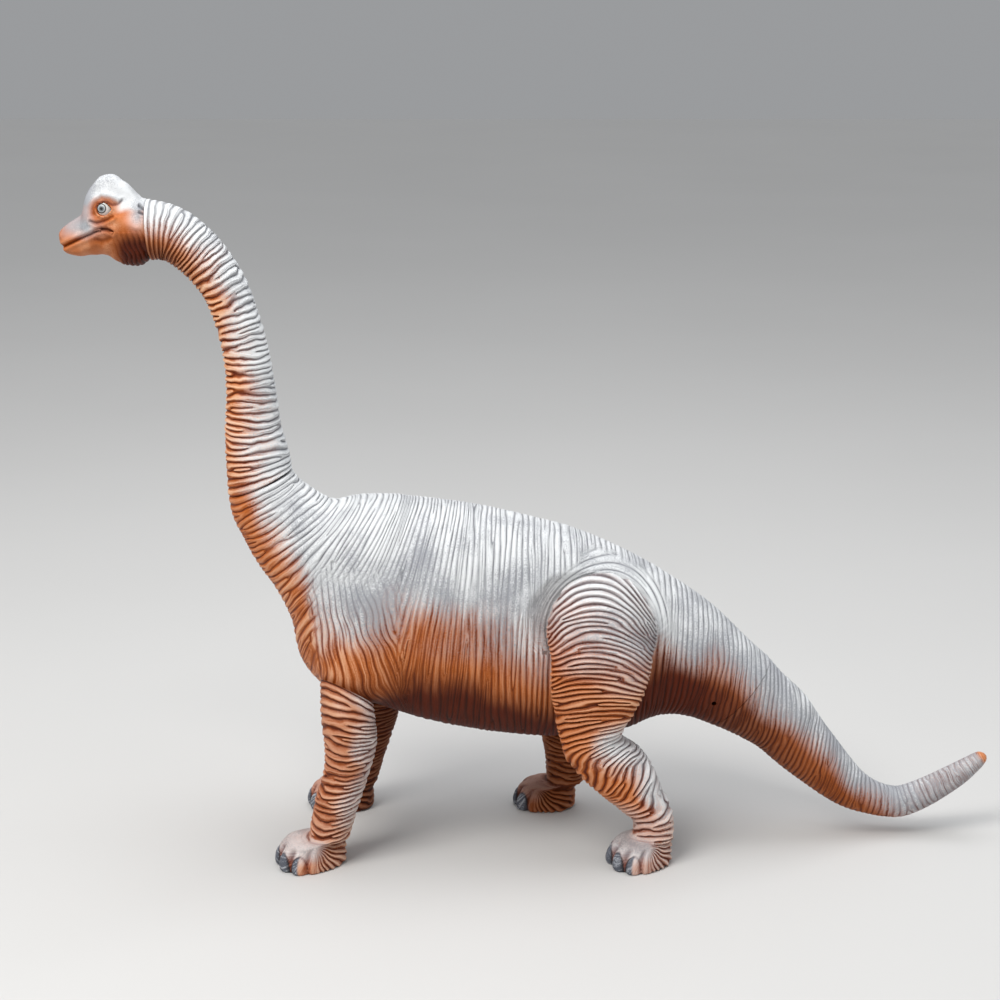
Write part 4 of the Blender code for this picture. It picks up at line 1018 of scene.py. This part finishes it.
def makeHead(material):
    point, inward, radius = seats["head"]
    start = np.array(point) - np.array(inward) * 0.3
    up = unit(np.cross((0, 1, 0), np.array(inward)))
    up = up if up[2] > 0 else -up
    turns = pi * np.arange(20) / 10
    first = [start + up * radius * cos(turn) + np.array((0, 1, 0)) * radius * sin(turn) for turn in turns]
    net = np.array([first] + [headRing(row) for row in headRows])
    # even steps from the seam to the snout, then smooth curves round each ring
    dense = np.linspace(0, len(net) - 1, 1500)
    read = readRows(net.reshape(len(net), -1), dense).reshape(1500, 20, 3)
    gone = np.concatenate([[0], np.cumsum(np.linalg.norm(np.diff(read, axis=0), axis=2).mean(1))])
    places = np.interp(np.linspace(0, gone[-1], head["rings"]), gone, dense)
    read = readRows(net.reshape(len(net), -1), places).reshape(-1, 20, 3)
    closed = np.concatenate([read[:, -2:], read, read[:, :3]], 1).transpose(1, 0, 2).reshape(25, -1)
    around = readRows(closed, 2 + np.linspace(0, 20, head["sides"], endpoint=False))
    rings = around.reshape(head["sides"], head["rings"], 3).transpose(1, 0, 2)

    for _ in range(2):  # a light smoothing of the lines where the curves meet
        rings = rings * 0.5 + (np.roll(rings, 1, 1) + np.roll(rings, -1, 1)) * 0.25
    normals = outward(rings)
    x, y, z = (rings[..., k] for k in range(3))
    cheek = np.clip(np.abs(normals[..., 1]) * 1.6, 0, 1)
    # the eye's opening is round in front and runs to a corner behind; 1 is its rim
    along, rise = x - eye["x"] - 1, z - eye["z"]
    power = np.where(along > 0, 1.4, 2.0)
    rim = ((np.abs(along) / 3.1) ** power + (np.abs(rise) / 2.55) ** power) ** (1 / power)
    mouth, lid, bag, jowl, earTop, earFoot = (
        nearLine(x, z, faceLines[k]) for k in ("mouth", "lid", "bag", "jowl", "earTop", "earFoot"))
    ear = np.minimum(earTop, earFoot)
    # it lies in a socket under the brow's edge
    edge = z - np.interp(x, *zip(*faceLines["brow"]))
    socket = ease(0.5, -0.4, edge) * ease(-187.2, -185.8, x) * ease(-172.5, -176, x)
    socket = socket * ease(280, 281.6, z) * cheek
    shift = -4.5 * ease(1.08, 0.9, rim) * cheek - 0.8 * socket
    under = cheek * ease(0, -1.5, rise)
    above = cheek * ease(-187.5, -185, x) * ease(-170, -176, x)
    front = ease(-203.5, -199, x)
    lips = np.maximum(cheek, 1 - front)
    # each line is a groove, most with a soft ridge beside it: height, line, how far off, width
    for height, line, off, width, share in (
            (0.55, rim, 1.22, 0.16, cheek), (0.4, rim, 1.25, 0.2, under), (0.6, edge, 0.9, 0.8, above),
            (-0.4, lid, 0, 0.4, cheek), (-1.2, mouth, 0, 0.65, lips), (0.5, mouth, 1.6, 0.9, cheek),
            (-0.6, bag, 0, 0.6, cheek), (0.45, bag, 1.2, 0.7, cheek), (-0.7, jowl, 0, 0.9, cheek),
            (-1.1, ear, 0, 0.5, cheek), (0.35, ear, 1.1, 0.5, cheek)):
        shift = shift + height * bell(line - off, width) * share
    # soft rings round the throat pouch, and an uneven skin
    throat = ease(-179.5, -171.5, x) * ease(277, 267, z)
    rows = (x + 0.25 * (z - 266)) / 2.2 + 0.35 * hills(x / 4, z / 4, 80, 75)
    rows = np.abs(np.sin(pi * rows)) ** 0.9
    shift -= 0.6 * throat * (1 - rows)
    shift += 0.25 * hills(x / 3.5, z / 3.5, 80, 76) * ease(1.3, 1.8, rim)
    near = ease(0, 1.6, point[0] - x)
    rings = rings + normals * (shift - 0.8 * (1 - near))[..., None]

    # dark paint in the creases of the mouth, lid, bags, jowl and ear, as painted shade; along the lid it is
    # the painted shadow under the upper lid
    creases = 0.6 * bell(mouth, 0.65) + 0.45 * bell(bag, 0.6)
    creases += 0.75 * bell(lid, 0.45) + 0.4 * bell(jowl, 1.1) + 0.85 * bell(ear, 0.5)
    creases = creases * lips
    rimmed = ease(1.1, 1.0, rim) * cheek
    noise = hills(x / 5, z / 5, 80, 77)
    behindEye = ease(-179, -175, x)
    frost = ease(284 - 2.8 * behindEye, 290 - 4.5 * behindEye, z + noise)
    snout = ease(-184, -189, x) * ease(-203.5, -197, x) * ease(270, 275.5, z + noise)
    behind = spot(x, z, (-166.8, 281), (3.2, 4.6))
    muzzle = spot(x, z, (-187, 275.5), (6, 3.2))
    lip = spot(x, z, (-177, 277), (3.0, 1.8))
    marks = {key: 0.0 for key in ("phase", "phaseB", "swap", "split", "claw", "lit")}
    marks.update(mist=0.7, calm=0.8, dull=0.35 + 1.1 * np.maximum(snout, behind), round=1.0)
    # the creases and the throat's grooves are painted dark, as painted shade, and the eye's rim gets a dark
    # outline
    marks["dent"] = np.clip(creases + throat * 0.6 * (1 - rows) + 0.8 * rimmed, 0, 0.9)
    # the socket under the brow stays clear of the grey coat and is painted dark brown, as painted shade;
    # below, the head gets darker towards the bottom
    marks["frost"] = np.clip(frost + 0.75 * snout + 0.9 * behind + 0.4 * muzzle, 0, 1) * (1 - 0.9 * socket)
    marks["deep"] = np.clip(throat * 0.95 + 0.28 * ease(277, 265, z) + 0.3 * socket, 0, 1)
    # pale paint on the lower lid and on the upper lip's fold, partly a painted highlight
    under = bell(rim - 1.3, 0.3) * ease(0, -1, rise)
    dryBrushAndHighlight = 0.2 + 0.3 * ease(-0.4, 0.8, noise) + 0.7 * lip + 0.8 * under
    marks["dryBrushAndHighlight"] = np.clip(dryBrushAndHighlight, 0, 1) * (1 - throat)
    skin = makeSkin("head_skin", rings, marks, material)
    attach(skin, "head")
    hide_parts("head")
    print("head skin made")


# rings of paint round the pupil: from and to what radius each one fades in, and its colour
eyeRings = ((0.55, 0.7, "656b6e"), (1.0, 1.3, "9fa5a7"), (1.5, 1.65, "2a2523"), (1.95, 2.1, "d2d1cc"),
            (4.2, 4.7, "2a1710"))


def eyePaint():
    paint = Paint(bpy.data.materials.new("painted_eye"))
    gaze = paint.mark("gaze")
    colour = "0c0c0e"
    for start, end, code in eyeRings:
        colour = paint.mix(paint.ramp(gaze, start, end), colour, code)
    paint.shade("Base Color", colour)
    paint.shade("Roughness", paint.ramp(paint.noise(900), 0.3, 0.7, 0.3, 0.4))
    return paint.owner


def makeEye(name, side, material):
    body = bmesh.new()
    gaze = body.verts.layers.float.new("gaze")
    place = Matrix.Rotation(radians(90), 4, "X")
    bmesh.ops.create_uvsphere(body, u_segments=48, v_segments=32, radius=eye["radius"], matrix=place)
    for vert in body.verts:
        x, y, z = vert.co
        looks = Vector((x + eye["back"], z - eye["down"])).length
        vert[gaze] = looks if y * side > 0 else eye["radius"]
        vert.co = Vector((x + eye["x"] + eye["back"], y + side * eye["out"],
                          z + eye["z"] - eye["down"])) * mm
    ball = finishPiece(name, body, material)
    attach(ball, "head")


# Floor, soft room, three lamps and the camera at the photograph's angle
stage = {
    "aim": (-16.6, 0, 156), "distance": 0.9, "elevation": 15, "lens": 74.5, "sensor": 36,
    "lampAim": (-0.0166, 0, 0.12),
}
lamps = (  # name, place, power, size, colour
    ("key", (-0.5, -0.6, 1.1), 12.4, 0.6, (1, 0.985, 0.96)),
    ("top", (0.15, 0.1, 1.2), 6.4, 0.8, (0.95, 0.97, 1)),
    ("fill", (0.9, -0.9, 0.4), 1.5, 0.8, (1, 0.97, 0.94)),
)


def makeStage():
    floor = Paint(bpy.data.materials.new("plain_floor"))
    floor.shade("Base Color", floor.mix(floor.noise(3.0, 4.0), "c4c3c1", "cbcac8"))
    floor.shade("Roughness", 0.7)
    body = bmesh.new()
    bmesh.ops.create_grid(body, x_segments=1, y_segments=1, size=4.0)
    ground = finishPiece("floor", body, floor.owner)

    # a room that gets brighter with height
    room = Paint(bpy.data.worlds.new("soft_room"), "Background", "Generated")
    high = room.node("ShaderNodeSeparateXYZ", {0: room.place}, "Z")
    room.shade("Strength", room.ramp(high, 0.08, 0.7, 0.34, 0.6))
    room.shade("Color", (0.95, 0.97, 1, 1))
    bpy.context.scene.world = room.owner

    aim = Vector(stage["lampAim"])
    for name, place, power, size, colour in lamps:
        lamp = bpy.data.lights.new(name, "AREA")
        lamp.energy, lamp.size, lamp.color = power, size, colour
        addObject(name, lamp, place, aim)

    lens = bpy.data.cameras.new("camera")
    lens.lens, lens.sensor_width = stage["lens"], stage["sensor"]
    target = Vector(stage["aim"]) * mm
    rise = radians(stage["elevation"])
    place = target + Vector((0, -cos(rise), sin(rise))) * stage["distance"]
    bpy.context.scene.camera = addObject("camera", lens, place, target)
    bpy.context.scene.view_settings.view_transform = "Standard"
    print("stage set")


makeStage()
vinyl = vinylPaint(vinylLook)
makeTorso(vinyl)
makeNeck(vinyl)
makeTail(vinyl)
makeForeLeg("left_fore_leg", -1, vinyl)
makeForeLeg("right_fore_leg", 1, vinyl)
makeHindLeg("left_hind_leg", -1, vinyl)
makeHindLeg("right_hind_leg", 1, vinyl)
makeHead(vinyl)
eyeLook = eyePaint()
makeEye("left_eye", -1, eyeLook)
makeEye("right_eye", 1, eyeLook)
